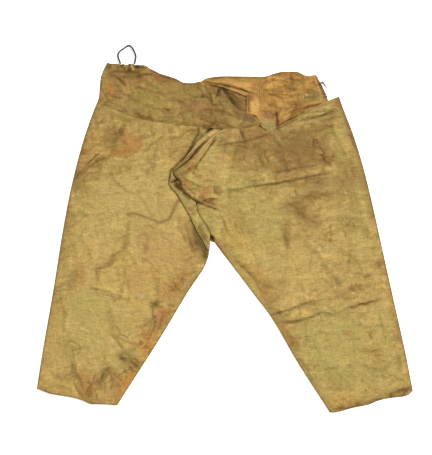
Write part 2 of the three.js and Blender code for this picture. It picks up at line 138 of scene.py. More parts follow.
# ---- Colours in the studio light, sRGB from 0 to 255 -------------------------------------
UNLIT = (0.488, 0.462, 0.425)  # share of such a colour, as linear light, that the silk has
GOLD = (196, 169, 102)
LIGHT = (204, 179, 109)
YELLOW = (220, 189, 106)
OLIVE = (172, 150, 86)
GREEN = (190, 174, 102)
GREY_GREEN = (134, 116, 60)
OLIVE_BROWN = (142, 116, 56)
GUSSET = (200, 181, 114)
STRIPE = (216, 182, 114)
# painted shade: the dark of creases, and of lines along folds and edges
CREASE_SHADE = (82, 56, 6)
# painted shade beside the gusset's lower edge, near the crotch
DEEP_GREEN_SHADE = (88, 74, 26)
BURNT = (180, 122, 64)
BRIGHT_ORANGE = (206, 150, 76)
TAN = (190, 155, 94)
BROWN = (146, 114, 62)
DARK_BROWN = (104, 74, 28)
RED_BROWN = (158, 106, 60)
ORANGE = (184, 132, 68)
PINK = (192, 144, 100)
PURPLE = (130, 98, 72)
CREAM = (228, 208, 162)
BAND = (160, 131, 73)
BAND_BROWN = (136, 102, 54)
BAND_GREEN = (172, 152, 82)
INNER = (189, 146, 77)
INNER_GOLD = (208, 164, 90)
INNER_BROWN = (150, 108, 60)
INNER_LIGHT = (228, 178, 108)
TAB_GREEN = (163, 148, 90)
WARM = (210, 168, 104)
SHADOW = (52, 32, 0)
CORD_BROWN = ((22, 12, 3), (54, 36, 16))  # of threads: the dark and the light of their mottling
SEWING_BROWN = ((60, 44, 22), (110, 88, 48))
FIBRE_OLIVE = ((52, 46, 24), (104, 92, 54))
FIBRE_RED = ((104, 62, 26), (150, 102, 56))

# Tones: what painted highlight and shade on a wrinkle, rubbing and dirt do to the red, green
# and blue of the silk under it.
RUBBED_AND_LIT = (1.24, 1.24, 1.26)
SOILED_AND_SHADED = (0.68, 0.61, 0.48)
LIT_CRESTS = [(1.20, 1.22, 1.24), (1.14, 1.24, 1.28), (1.20, 1.26, 1.48), (1.28, 1.20, 1.14)]
SHADED_TROUGHS = [(0.66, 0.60, 0.42), (0.70, 0.57, 0.44), (0.60, 0.60, 0.46), (0.62, 0.52, 0.36)]

# Grounds: a colour and its patches, as (colour, strength, size, from, to).
LEG_GROUND = (GOLD, [
    (OLIVE, 0.55, 0.13, -0.1, 0.7), (LIGHT, 0.60, 0.11, 0, 0.7), (GREEN, 0.45, 0.06, 0.05, 0.6),
    (TAN, 0.50, 0.05, 0.1, 0.6), (BROWN, 0.40, 0.035, 0.2, 0.75)])
GUSSET_GROUND = (GUSSET, LEG_GROUND[1])
BAND_GROUND = (BAND, [
    (BAND_BROWN, 0.50, 0.06, 0, 0.7), (RED_BROWN, 0.30, 0.035, 0.15, 0.7),
    (BAND_GREEN, 0.75, 0.020, -0.15, 0.5), (BAND_BROWN, 0.65, 0.011, 0, 0.5),
    (TAN, 0.50, 0.013, 0.1, 0.6), (PURPLE, 0.35, 0.012, 0.2, 0.7)])
INNER_GROUND = (INNER, [
    (INNER_GOLD, 0.85, 0.07, -0.1, 0.5), (INNER_BROWN, 0.50, 0.04, 0.1, 0.7),
    (RED_BROWN, 0.40, 0.02, 0.15, 0.7), (INNER_GOLD, 0.40, 0.012, 0.1, 0.7)])

# ---- Outlines: (y, x) down an edge, (x, y) across one, (y, x, x) for the tab -------------
WAIST_Y = 0.259
LEFT_CROTCH_Y = -0.035
RIGHT_CROTCH_Y = -0.012
LEFT_OUTER = [(0.328, -0.3055), (0.294, -0.319), (0.215, -0.345), (0.106, -0.372),
              (0.004, -0.391), (-0.116, -0.410), (-0.289, -0.440), (-0.363, -0.4515)]
RIGHT_OUTER = [(0.339, 0.274), (0.316, 0.282), (0.242, 0.310), (0.155, 0.336), (0.068, 0.357),
               (-0.036, 0.380), (-0.162, 0.408), (-0.288, 0.436), (-0.368, 0.4515)]
LEFT_INNER = [(0.259, 0.013), (0.114, -0.024), (0.004, -0.037), (-0.035, -0.038),
              (-0.061, -0.045), (-0.126, -0.086), (-0.242, -0.156), (-0.319, -0.205),
              (-0.403, -0.259)]
RIGHT_INNER = [(0.259, -0.001), (0.246, -0.024), (0.209, -0.072), (0.184, -0.098),
               (0.159, -0.125), (0.147, -0.122), (0.135, -0.110), (0.124, -0.108),
               (0.095, -0.083), (0.085, -0.070), (0.062, -0.065), (0.020, -0.040),
               (0.004, -0.034), (-0.012, -0.024), (-0.057, 0.010), (-0.144, 0.076),
               (-0.186, 0.108), (-0.298, 0.174), (-0.419, 0.252)]
BACK_SEAM = [(0.262, -0.007), (0.130, -0.024), (0.004, -0.0345), (-0.035, -0.037)]
WAIST_SEAM = [(-0.306, 0.328), (-0.276, 0.316), (-0.240, 0.300), (-0.204, 0.288),
              (-0.170, 0.281), (-0.103, 0.273), (-0.050, 0.267), (0, 0.263), (0.034, 0.263),
              (0.084, 0.270)]
RIGHT_TOP = [(-0.001, 0.262), (0.034, 0.2615), (0.077, 0.267), (0.090, 0.262),
             (0.104, 0.258), (0.122, 0.264), (0.168, 0.286), (0.206, 0.307), (0.245, 0.328),
             (0.274, 0.339)]
BACK_WAIST = [(-0.306, 0.328), (-0.007, 0.262), (0.095, 0.249), (0.180, 0.280),
              (0.274, 0.339)]
LEFT_HEM = [(-0.4515, -0.363), (-0.418, -0.375), (-0.366, -0.384), (-0.345, -0.390),
            (-0.317, -0.400), (-0.296, -0.400), (-0.259, -0.403)]
RIGHT_HEM = [(0.252, -0.419), (0.258, -0.420), (0.310, -0.408), (0.345, -0.401),
             (0.373, -0.390), (0.397, -0.385), (0.436, -0.380), (0.4515, -0.368)]
GUSSET_FOLD = [(0.256, -0.005), (0.233, -0.043), (0.213, -0.077), (0.184, -0.106),
               (0.163, -0.1275), (0.157, -0.1290), (0.1345, -0.1345), (0.131, -0.1344),
               (0.105, -0.116), (0.056, -0.087), (0.013, -0.066), (-0.008, -0.053),
               (-0.030, -0.042)]
GUSSET_OPEN = [(0.256, 0.012), (0.191, -0.007), (0.114, -0.024), (0.042, -0.034),
               (0.004, -0.036), (-0.030, -0.0375)]
BAND_TOP = [(-0.283, 0.419), (-0.250, 0.416), (-0.211, 0.415), (-0.190, 0.413),
            (-0.174, 0.400), (-0.146, 0.391), (-0.118, 0.382), (-0.098, 0.372),
            (-0.079, 0.371), (-0.060, 0.375), (-0.040, 0.369), (-0.014, 0.364),
            (0.019, 0.353), (0.053, 0.339)]
BAND_SIDE = [(0.419, -0.283), (0.400, -0.293), (0.385, -0.298), (0.343, -0.302),
             (0.328, -0.3055)]
BAND_SIDE_Y = (0.328, 0.419)
BAND_END_Y = (0.271, 0.339)
BAND_END = [(0.339, 0.053), (0.304, 0.052), (0.297, 0.073), (0.283, 0.0835), (0.268, 0.088)]
BACK_TOP = [(-0.283, 0.419), (-0.190, 0.409), (-0.110, 0.373), (-0.066, 0.371),
            (-0.051, 0.380), (-0.036, 0.385), (0, 0.388), (0.094, 0.387), (0.118, 0.394),
            (0.142, 0.399), (0.170, 0.399), (0.198, 0.389), (0.219, 0.391)]
BACK_JOIN_X = 0.089
BACK_END_Y = (0.324, 0.391)
BACK_END = [(0.391, 0.219), (0.380, 0.226), (0.366, 0.234), (0.352, 0.242), (0.324, 0.250)]
TAB_TOP_Y = 0.282
TAB_END_Y = 0.254
TAB_EDGES = [(0.282, 0.096, 0.118), (0.276, 0.087, 0.123), (0.268, 0.087, 0.125),
             (0.261, 0.094, 0.121), (0.254, 0.107, 0.112)]

# ---- Broad folds: (x1, y1, x2, y2, half-width, rise) -------------------------------------
LEFT_FOLDS = [(-0.372, 0.128, -0.282, 0.214, 0.017, 0.0024),
              (-0.180, 0.276, -0.162, 0.150, 0.017, 0.0018),
              (-0.330, -0.112, -0.235, -0.146, 0.018, 0.0018),
              (-0.262, -0.270, -0.196, -0.318, 0.017, 0.0024),
              (-0.350, -0.330, -0.300, -0.395, 0.018, 0.0020)]
RIGHT_FOLDS = [(-0.030, 0.246, -0.084, 0.160, 0.015, 0.0020),
               (-0.024, 0.226, 0.082, 0.242, 0.014, 0.0022),
               (-0.066, 0.092, 0.010, 0.098, 0.014, 0.0020),
               (-0.008, 0.112, 0.270, 0.160, 0.016, 0.0022),
               (0.092, -0.186, 0.345, -0.122, 0.017, 0.0024),
               (0.100, -0.216, 0.410, -0.142, 0.017, 0.0024),
               (0.215, -0.330, 0.430, -0.280, 0.020, 0.0016)]
PUCKERS = 9
PUCKER_FROM_X = -0.283
PUCKER_TO_X = -0.187
PUCKER_RISE = 0.0020
PUCKER_DEPTH = 0.028
PUCKER_REACH = (0.7, 0.4, 0.011)  # mean and unevenness as shares of that depth, and size
PUCKER_SIZE = 0.62  # mean height, as a share of the rise
PUCKER_DRIFT = ((0.035, 2.3), (0.012, 5.7))  # unevenness of their spacing
GUSSET_RAMP = 0.028

# ---- Drawstring --------------------------------------------------------------------------
CORD_DIAMETER = 0.0044
CORD_Z = 0.00225
CORD_SIDES = 12
CORD_STEPS = 12
TWIST = 900  # radians of twist in a metre
TWIST_DEPTH = 0.08  # shares of the radius
LUMPS = 0.06
LUMP_SIZE = 0.006
CORD_ROUTE = [(-0.2505, 0.4172), (-0.253, 0.424), (-0.2565, 0.434), (-0.256, 0.442),
              (-0.2505, 0.449), (-0.243, 0.454), (-0.236, 0.4595), (-0.229, 0.461),
              (-0.223, 0.456), (-0.2175, 0.4465), (-0.214, 0.436), (-0.215, 0.427),
              (-0.217, 0.4172)]


# ---- Helpers -----------------------------------------------------------------------------
HASH_STEPS = (127.1, 311.7, 74.7)
HASH_SPREAD = 43758.5453
ROUGH_REACH = 1.6  # brings the sum of the waves back to about 1


def linear(colour):
    """An sRGB colour as linear light, by the sRGB standard's own numbers."""
    c = np.asarray(colour, float) / 255
    return np.where(c <= 0.04045, c / 12.92, ((c + 0.055) / 1.055) ** 2.4)


def lerp(a, b, t):
    return a + (b - a) * t


def smoothstep(value, low, high):
    t = np.clip((value - low) / (high - low), 0, 1)
    return t * t * (3 - 2 * t)


def ends_faded(share, reach):
    """1 in the middle of a run from 0 to 1, dying out over `reach` at each end."""
    return smoothstep(share, 0, reach) * smoothstep(1 - share, 0, reach)


def curve(table):
    """A smooth curve through a table's points that never overshoots them (a monotone cubic)."""
    x, y = np.array(sorted(table), float).T
    slope = np.diff(y) / np.diff(x)
    before = np.r_[slope[0], slope]
    after = np.r_[slope, slope[-1]]
    total = before + after
    tangent = np.where(before * after > 0, 2 * before * after / np.where(total == 0, 1, total), 0)

    def at(value):
        v = np.clip(value, x[0], x[-1])
        i = np.clip(np.searchsorted(x, v) - 1, 0, len(slope) - 1)
        span = x[i + 1] - x[i]
        t = (v - x[i]) / span
        return (y[i] * (1 + 2 * t) * (1 - t) ** 2 + tangent[i] * span * t * (1 - t) ** 2
                + y[i + 1] * t * t * (3 - 2 * t) - tangent[i + 1] * span * t * t * (1 - t))
    return at


def down_edge(table):
    """The path down an edge, in millimetres, for a mark that follows it."""
    return [(x / MM, y / MM) for y, x in table]


def hashed(i, j, seed):
    """A fixed number from -1 to 1 for each lattice point."""
    di, dj, ds = HASH_STEPS
    wave = np.sin(i * di + j * dj + seed * ds) * HASH_SPREAD
    return 2 * (wave - np.floor(wave)) - 1


def noise(x, y, size, seed):
    """Smooth uneven waves from -1 to 1, with lumps about `size` across."""
    u, v = x / size, y / size
    i, j = np.floor(u), np.floor(v)
    s, t = u - i, v - j
    s, t = s * s * (3 - 2 * s), t * t * (3 - 2 * t)
    low = lerp(hashed(i, j, seed), hashed(i + 1, j, seed), s)
    high = lerp(hashed(i, j + 1, seed), hashed(i + 1, j + 1, seed), s)
    return lerp(low, high, t)


def rough(x, y, size, seed, steps=4):
    """Noise with finer noise on it."""
    return sum(noise(x, y, size / 2 ** k, seed + k) / 2 ** k for k in range(steps)) / ROUGH_REACH


def strayed(x, y, size, seed):
    """Places moved a little this way and that, so that a line through them wavers."""
    return x + WAVER * noise(x, y, size, seed), y + WAVER * noise(x, y, size, seed + 1)


def turned(x, y, degrees):
    """Coordinates along and across a direction."""
    a = math.radians(degrees)
    return x * math.cos(a) + y * math.sin(a), y * math.cos(a) - x * math.sin(a)


def along(x, y, path):
    """Distance from a path, the side of it (+1 left), and how far along it from 0 to 1."""
    points = np.asarray(path, float)
    steps = np.hypot(*np.diff(points, axis=0).T)
    starts = np.r_[0, np.cumsum(steps)]
    best = np.full(np.shape(x), np.inf)
    side = np.ones(np.shape(x))
    share = np.zeros(np.shape(x))
    for (ax, ay), (bx, by), step, start in zip(points[:-1], points[1:], steps, starts):
        dx, dy = (bx - ax) / step, (by - ay) / step
        t = np.clip((x - ax) * dx + (y - ay) * dy, 0, step)
        away = np.hypot(x - ax - t * dx, y - ay - t * dy)
        near = away < best
        best = np.where(near, away, best)
        side = np.where(near, np.sign(dx * (y - ay) - dy * (x - ax)), side)
        share = np.where(near, (start + t) / starts[-1], share)
    return best, side, share


# ---- Marks on the cloth, in millimetres --------------------------------------------------
# Creases: rise (troughs below 0), width on the left and on the right of the path, darkening
# (painted shade on the steep side), path. The narrow side is the steep one.
LEFT_CREASES = [
    (2.4, 10, 4, 0.62, [(-365, 136), (-338, 162), (-312, 186), (-290, 205)]),
    (-1.2, 6, 6, 0.15, [(-307, 157), (-298, 174), (-290, 191)]),
    (1, 8, 6, 0.1, [(-271, 309), (-257, 263), (-259, 222), (-271, 191)]),
    (1.2, 9, 6, 0.1, [(-180, 287), (-166, 246), (-161, 186), (-175, 143)]),
    (-1, 6, 6, 0.12, [(-144, 277), (-132, 246), (-127, 210)]),
    (0.9, 10, 6, 0.06, [(-338, 292), (-334, 234), (-348, 186)]),
    (1.2, 8, 4, 0.12, [(-281, 167), (-262, 138), (-233, 114), (-209, 105)]),
    (0.9, 8, 6, 0.06, [(-391, 57), (-353, 66), (-319, 57), (-281, 66)]),
    (1, 10, 6, 0.05, [(-353, 13), (-324, -25), (-314, -73)]),
    (-0.9, 7, 7, 0.1, [(-247, -63), (-240, -92), (-238, -131)]),
    (1.2, 9, 5, 0.1, [(-329, -111), (-295, -126), (-252, -143), (-223, -145)]),
    (-1, 6, 6, 0.16, [(-247, -140), (-262, -150), (-276, -159)]),
    (1.2, 8, 4, 0.1, [(-396, -126), (-382, -179), (-386, -231)]),
    (1, 9, 6, 0.06, [(-180, -59), (-156, -107), (-161, -159), (-175, -203)]),
    (-1.4, 6, 6, 0.3, [(-125, -114), (-120, -123), (-113, -131)]),
    (1.3, 7, 4, 0.14, [(-271, -219), (-252, -241), (-223, -251), (-190, -263)]),
    (-1, 5, 5, 0.12, [(-281, -231), (-257, -255), (-242, -275)]),
    (1.6, 8, 4, 0.2, [(-250, -284), (-226, -296), (-202, -311)]),
    (-1.2, 5, 5, 0.2, [(-300, -342), (-290, -323), (-276, -308)]),
    (1.2, 6, 4, 0.15, [(-257, -342), (-247, -359), (-250, -380)]),
    (-1.2, 5, 5, 0.35, [(-362, -354), (-353, -371), (-343, -385)]),
    (1.2, 7, 4, 0.12, [(-420, -323), (-391, -332), (-358, -339), (-324, -337)]),
    (0.9, 10, 6, 0.05, [(-367, -275), (-362, -308), (-353, -342)]),
    (-1, 5, 5, 0.18, [(-432, -351), (-401, -359), (-362, -371)]),
    (1.4, 6, 4, 0.15, [(-94, 37), (-84, -1), (-70, -35)]),
    (-1.2, 6, 6, 0.15, [(-118, 61), (-113, 28), (-94, -15)]),
]
RIGHT_CREASES = [
    (2.2, 6, 3, 0.5, [(-31, 222), (2, 227), (43, 232), (84, 243), (115, 257)]),
    (-1.2, 4, 4, 0.5, [(36, 259), (41, 251), (44, 243)]),
    (-1.6, 3, 3, 0.85, [(-18, 245), (-34, 223), (-49, 198), (-67, 173)]),
    (1.2, 3, 2.5, 0.2, [(-29, 246), (-48, 225), (-64, 203), (-82, 184), (-106, 165)]),
    (-1.6, 2.4, 2.4, 0.95, [(-14, 263), (-34, 249), (-50, 232), (-65, 213), (-77, 198), (-94, 184),
                            (-113, 167), (-125, 157)]),
    (1.2, 3, 3, 0.15, [(-12, 256), (-26, 237), (-41, 215), (-55, 193)]),
    (1.4, 6, 4, 0.6, [(131, 270), (165, 288), (204, 309), (248, 328)]),
    (1.3, 5, 3, 0.6, [(186, 281), (228, 294), (264, 303)]),
    (-1.2, 4, 4, 0.6, [(125, 299), (126, 282), (125, 263)]),
    (1, 5, 5, 0.05, [(115, 252), (130, 234), (146, 208)]),
    (2, 7, 3.5, 0.66, [(-46, 106), (-7, 113), (41, 121), (89, 129), (126, 134), (178, 143), (210, 150),
                       (276, 163)]),
    (1.4, 6, 3, 0.55, [(98, 155), (139, 162), (168, 169), (233, 177)]),
    (-0.9, 5, 5, 0.12, [(89, 210), (98, 191), (108, 174)]),
    (-0.9, 5, 5, 0.12, [(72, 205), (82, 189), (89, 172)]),
    (1, 8, 5, 0.04, [(252, 287), (262, 256), (286, 220), (295, 186)]),
    (1.2, 6, 3, 0.18, [(-54, 88), (-34, 92), (-1, 95)]),
    (-1.1, 4, 4, 0.25, [(-48, 76), (-31, 70), (-7, 65)]),
    (1.4, 5, 3, 0.22, [(-103, 148), (-84, 136), (-60, 124), (-36, 119)]),
    (-1.1, 4, 4, 0.22, [(-108, 131), (-89, 114), (-65, 100)]),
    (1.2, 7, 4, 0.14, [(-6, 57), (0, 42), (7, 23), (17, -1)]),
    (-1, 5, 5, 0.16, [(10, 21), (11, 9), (14, -6)]),
    (1.2, 8, 5, 0.1, [(137, 37), (146, 9), (156, -30)]),
    (-1, 5, 5, 0.18, [(270, 57), (278, 45), (288, 42), (298, 28)]),
    (1.2, 8, 5, 0.08, [(312, 124), (324, 81), (338, 28)]),
    (0.8, 7, 5, 0.03, [(187, -6), (218, -30), (240, -63), (276, -111)]),
    (-0.9, 6, 6, 0.1, [(18, -51), (62, -90), (96, -120), (149, -128)]),
    (2.4, 8, 3.5, 0.85, [(103, -185), (156, -169), (180, -159), (221, -149)]),
    (1, 6, 3, 0.2, [(214, -150), (252, -143), (290, -134)]),
    (2.6, 8, 3.5, 0.9, [(115, -205), (168, -198), (204, -188), (234, -177), (262, -182), (290, -168),
                        (322, -159), (374, -145), (406, -141)]),
    (-1.1, 4, 4, 0.6, [(238, -167), (252, -173), (266, -180)]),
    (1.3, 7, 4, 0.14, [(134, -234), (180, -239), (233, -224), (288, -231)]),
    (-1, 5, 5, 0.14, [(180, -258), (223, -270), (276, -263)]),
    (1.2, 6, 3, 0.14, [(300, -203), (338, -212), (391, -203)]),
    (1.3, 6, 4, 0.12, [(223, -308), (266, -311), (322, -301), (372, -313)]),
    (-0.9, 5, 5, 0.12, [(259, -342), (300, -337), (353, -327)]),
    (1.1, 8, 5, 0.06, [(170, -275), (199, -308), (214, -351)]),
    (-1.4, 4, 4, 0.8, [(386, -381), (410, -372), (430, -366), (449, -363)]),
    (1.4, 5, 3, 0.2, [(252, -390), (288, -383), (324, -371), (358, -363)]),
    (1, 9, 6, 0.06, [(382, -59), (396, -111), (415, -174), (425, -246)]),
]
BAND_CREASES = [
    (1.4, 5, 3, 0.3, [(-211, 388), (-202, 392), (-192, 394), (-173, 394)]),
    (-1.2, 4, 4, 0.35, [(-267, 388), (-248, 373), (-235, 359)]),
    (1, 6, 4, 0.12, [(-281, 347), (-262, 340), (-242, 337)]),
    (-1, 4, 4, 0.25, [(-118, 383), (-110, 378), (-103, 373)]),
    (-1.2, 4, 4, 0.35, [(-84, 335), (-62, 339), (-43, 335), (-31, 325), (-19, 311)]),
    (1.1, 6, 4, 0.12, [(-218, 369), (-180, 354), (-142, 349), (-98, 354)]),
    (1, 6, 4, 0.14, [(-233, 340), (-199, 325), (-161, 313), (-118, 309)]),
    (-0.9, 5, 5, 0.1, [(-156, 340), (-127, 328), (-94, 321)]),
    (2.6, 5, 3, 0.8, [(-46, 370), (-26, 367), (-5, 364), (22, 358), (53, 347)]),
    (-1.6, 3, 3, 0.45, [(-12, 360), (19, 352), (52, 339)]),
    (-1.8, 3, 3, 0.85, [(-41, 369), (-24, 367), (-10, 364), (5, 345), (17, 323), (31, 311)]),
    (-1.4, 3, 3, 0.45, [(-10, 361), (-14, 349), (-19, 335)]),
    (1.4, 4, 3, 0.22, [(2, 359), (19, 345), (36, 330), (48, 323)]),
    (1.4, 5, 3, 0.22, [(-36, 354), (-31, 335), (-26, 316)]),
    (1.2, 5, 4, 0.15, [(-65, 369), (-53, 349), (-48, 330)]),
    (-1.2, 4, 4, 0.3, [(31, 311), (50, 301), (74, 292)]),
    (1.2, 6, 4, 0.15, [(-14, 311), (12, 299), (46, 285)]),
    (-1, 4, 4, 0.18, [(-300, 359), (-286, 335), (-271, 316)]),
]
BACK_CREASES = [
    (1.6, 5, 3, 0.25, [(98, 349), (120, 343), (137, 337), (178, 342)]),
    (1.2, 4, 3, 0.25, [(95, 377), (110, 382), (127, 385)]),
    (1.2, 5, 4, 0.15, [(137, 369), (170, 359), (204, 359)]),
    (-1.2, 4, 4, 0.25, [(94, 321), (122, 311), (156, 311)]),
    (1.2, 5, 4, 0.12, [(180, 328), (214, 323), (242, 328)]),
    (-1, 4, 4, 0.18, [(154, 388), (161, 373), (156, 359)]),
    (1.2, 4, 4, 0.15, [(209, 383), (223, 359), (233, 335)]),
]

# Blots: centre, half-lengths along and across, direction in degrees, colour, strength.
LEFT_BLOTS = [
    ((-156, -35), 95, 52, 60, WARM, 0.6),
    ((-89, 13), 30, 20, 60, WARM, 0.45),
    ((-425, -246), 120, 34, 100, LIGHT, 0.65),
    ((-360, -371), 70, 26, 165, LIGHT, 0.6),
    ((-430, -332), 30, 30, 0, YELLOW, 0.5),
    ((-156, -102), 80, 36, 62, LIGHT, 0.6),
    ((-127, -59), 70, 40, 70, LIGHT, 0.45),
    ((-108, -92), 40, 16, 60, BURNT, 0.4),
    ((-142, -126), 34, 12, 78, BRIGHT_ORANGE, 0.55),
    ((-127, -145), 30, 12, 62, TAN, 0.6),
    ((-156, -193), 34, 11, 78, BURNT, 0.6),
    ((-158, -183), 18, 6, 82, PINK, 0.7),
    ((-142, -188), 30, 10, 62, BURNT, 0.6),
    ((-185, -236), 30, 16, 60, BRIGHT_ORANGE, 0.55),
    ((-233, 28), 24, 12, 95, BROWN, 0.4),
    ((-238, -15), 22, 14, 80, BROWN, 0.4),
    ((-266, -49), 24, 12, 30, BROWN, 0.45),
    ((-142, -59), 60, 34, 62, ORANGE, 0.28),
    ((-94, -39), 34, 20, 62, ORANGE, 0.3),
    ((-118, -150), 40, 14, 62, ORANGE, 0.35),
    ((-290, -68), 24, 10, 20, BROWN, 0.4),
    ((-305, -99), 30, 10, 90, BROWN, 0.42),
    ((-175, 57), 40, 14, 10, BROWN, 0.28),
    ((-295, -150), 170, 90, 102, YELLOW, 0.3),
    ((-295, -193), 180, 90, 102, LIGHT, 0.72),
    ((-420, -193), 100, 30, 100, YELLOW, 0.35),
    ((-209, -92), 80, 50, 100, YELLOW, 0.45),
    ((-348, -366), 80, 24, 170, YELLOW, 0.4),
    ((-358, 162), 110, 22, 106, BROWN, 0.35),
    ((-293, 321), 40, 22, 120, BROWN, 0.35),
    ((-338, -18), 70, 50, 100, LIGHT, 0.35),
    ((-180, 54), 150, 100, 100, LIGHT, 0.68),
    ((-348, -222), 110, 60, 90, GREEN, 0.4),
    ((-271, 66), 110, 80, 90, LIGHT, 0.62),
    ((-329, 210), 60, 40, 80, ORANGE, 0.22),
    ((-230, 229), 38, 30, 25, ORANGE, 0.75),
    ((-250, 205), 30, 10, 10, ORANGE, 0.6),
    ((-269, 241), 38, 24, 100, BROWN, 0.6),
    ((-250, 251), 22, 9, 80, DARK_BROWN, 0.75),
    ((-240, 229), 10, 6, 120, PURPLE, 0.6),
    ((-305, 289), 24, 14, 95, BROWN, 0.35),
    ((-216, 287), 80, 20, 167, OLIVE_BROWN, 0.45),
    ((-324, 222), 22, 14, 60, TAN, 0.4),
    ((-302, 179), 18, 10, 62, DARK_BROWN, 0.45),
    ((-228, 287), 40, 18, 10, OLIVE, 0.4),
    ((-156, 258), 30, 20, 90, OLIVE, 0.3),
    ((-185, 157), 12, 6, 80, BROWN, 0.5),
    ((-211, 109), 12, 8, 0, GREY_GREEN, 0.35),
    ((-384, 71), 30, 14, 75, ORANGE, 0.35),
    ((-343, 61), 14, 10, 0, GREEN, 0.5),
    ((-180, -11), 48, 36, 110, TAN, 0.45),
    ((-199, 4), 14, 10, 0, PINK, 0.45),
    ((-192, -27), 14, 6, 100, PURPLE, 0.45),
    ((-197, -54), 10, 6, 0, BROWN, 0.45),
    ((-77, -23), 16, 8, 110, RED_BROWN, 0.45),
    ((-118, 76), 20, 7, 65, BROWN, 0.45),
    ((-348, -85), 40, 16, 95, ORANGE, 0.4),
    ((-365, -99), 34, 14, 80, DARK_BROWN, 0.3),
    ((-211, -107), 40, 30, 90, PINK, 0.4),
    ((-199, -140), 10, 6, 0, CREAM, 0.45),
    ((-319, -169), 50, 40, 20, GREEN, 0.65),
    ((-271, -198), 30, 14, 100, GREY_GREEN, 0.3),
    ((-278, -179), 6, 5, 0, DARK_BROWN, 0.45),
    ((-158, -212), 26, 8, 62, RED_BROWN, 0.45),
    ((-180, -260), 40, 22, 60, BRIGHT_ORANGE, 0.68),
    ((-113, -111), 20, 12, 62, BRIGHT_ORANGE, 0.45),
    ((-233, -356), 60, 26, 62, BRIGHT_ORANGE, 0.8),
    ((-269, -380), 26, 16, 0, TAN, 0.6),
    ((-329, -356), 46, 26, 100, BURNT, 0.45),
    ((-302, -351), 26, 14, 100, DARK_BROWN, 0.45),
    ((-214, -299), 20, 14, 140, BROWN, 0.6),
    ((-163, -157), 14, 9, 20, DARK_BROWN, 0.55),
    ((-161, -107), 44, 16, 100, ORANGE, 0.35),
    ((-101, -99), 12, 8, 60, PURPLE, 0.5),
    ((-134, -133), 20, 10, 110, ORANGE, 0.55),
    ((-170, -164), 12, 8, 0, GREY_GREEN, 0.5),
    ((-202, -253), 6, 5, 0, DARK_BROWN, 0.6),
    ((-190, -263), 6, 5, 0, DARK_BROWN, 0.55),
    ((-180, -255), 12, 10, 0, ORANGE, 0.3),
    ((-216, -258), 12, 10, 0, ORANGE, 0.4),
    ((-238, -282), 24, 14, 20, GREY_GREEN, 0.6),
    ((-221, -313), 8, 6, 0, RED_BROWN, 0.6),
    ((-226, -327), 12, 6, 0, ORANGE, 0.5),
    ((-288, -327), 24, 12, 60, GREY_GREEN, 0.75),
    ((-262, -344), 32, 20, 100, RED_BROWN, 0.45),
    ((-314, -339), 12, 6, 90, PINK, 0.5),
    ((-324, -371), 18, 8, 95, DARK_BROWN, 0.5),
    ((-348, -335), 12, 4, 95, PINK, 0.45),
    ((-365, -308), 34, 6, 92, GREY_GREEN, 0.4),
    ((-360, -265), 14, 8, 0, BROWN, 0.35),
    ((-396, -359), 36, 10, 165, BROWN, 0.3),
    ((-252, -234), 24, 20, 0, TAN, 0.3),
    ((-74, 4), 50, 14, 112, SHADOW, 0.42),
    ((-46, -30), 22, 12, 115, BROWN, 0.4),
    ((-415, -222), 90, 14, 98, TAN, 0.3),
    ((-391, -30), 110, 10, 101, BROWN, 0.22),
    ((-236, -236), 3, 3, 0, CREAM, 0.5),
    ((-366, -294), 3, 3, 0, CREAM, 0.5),
]
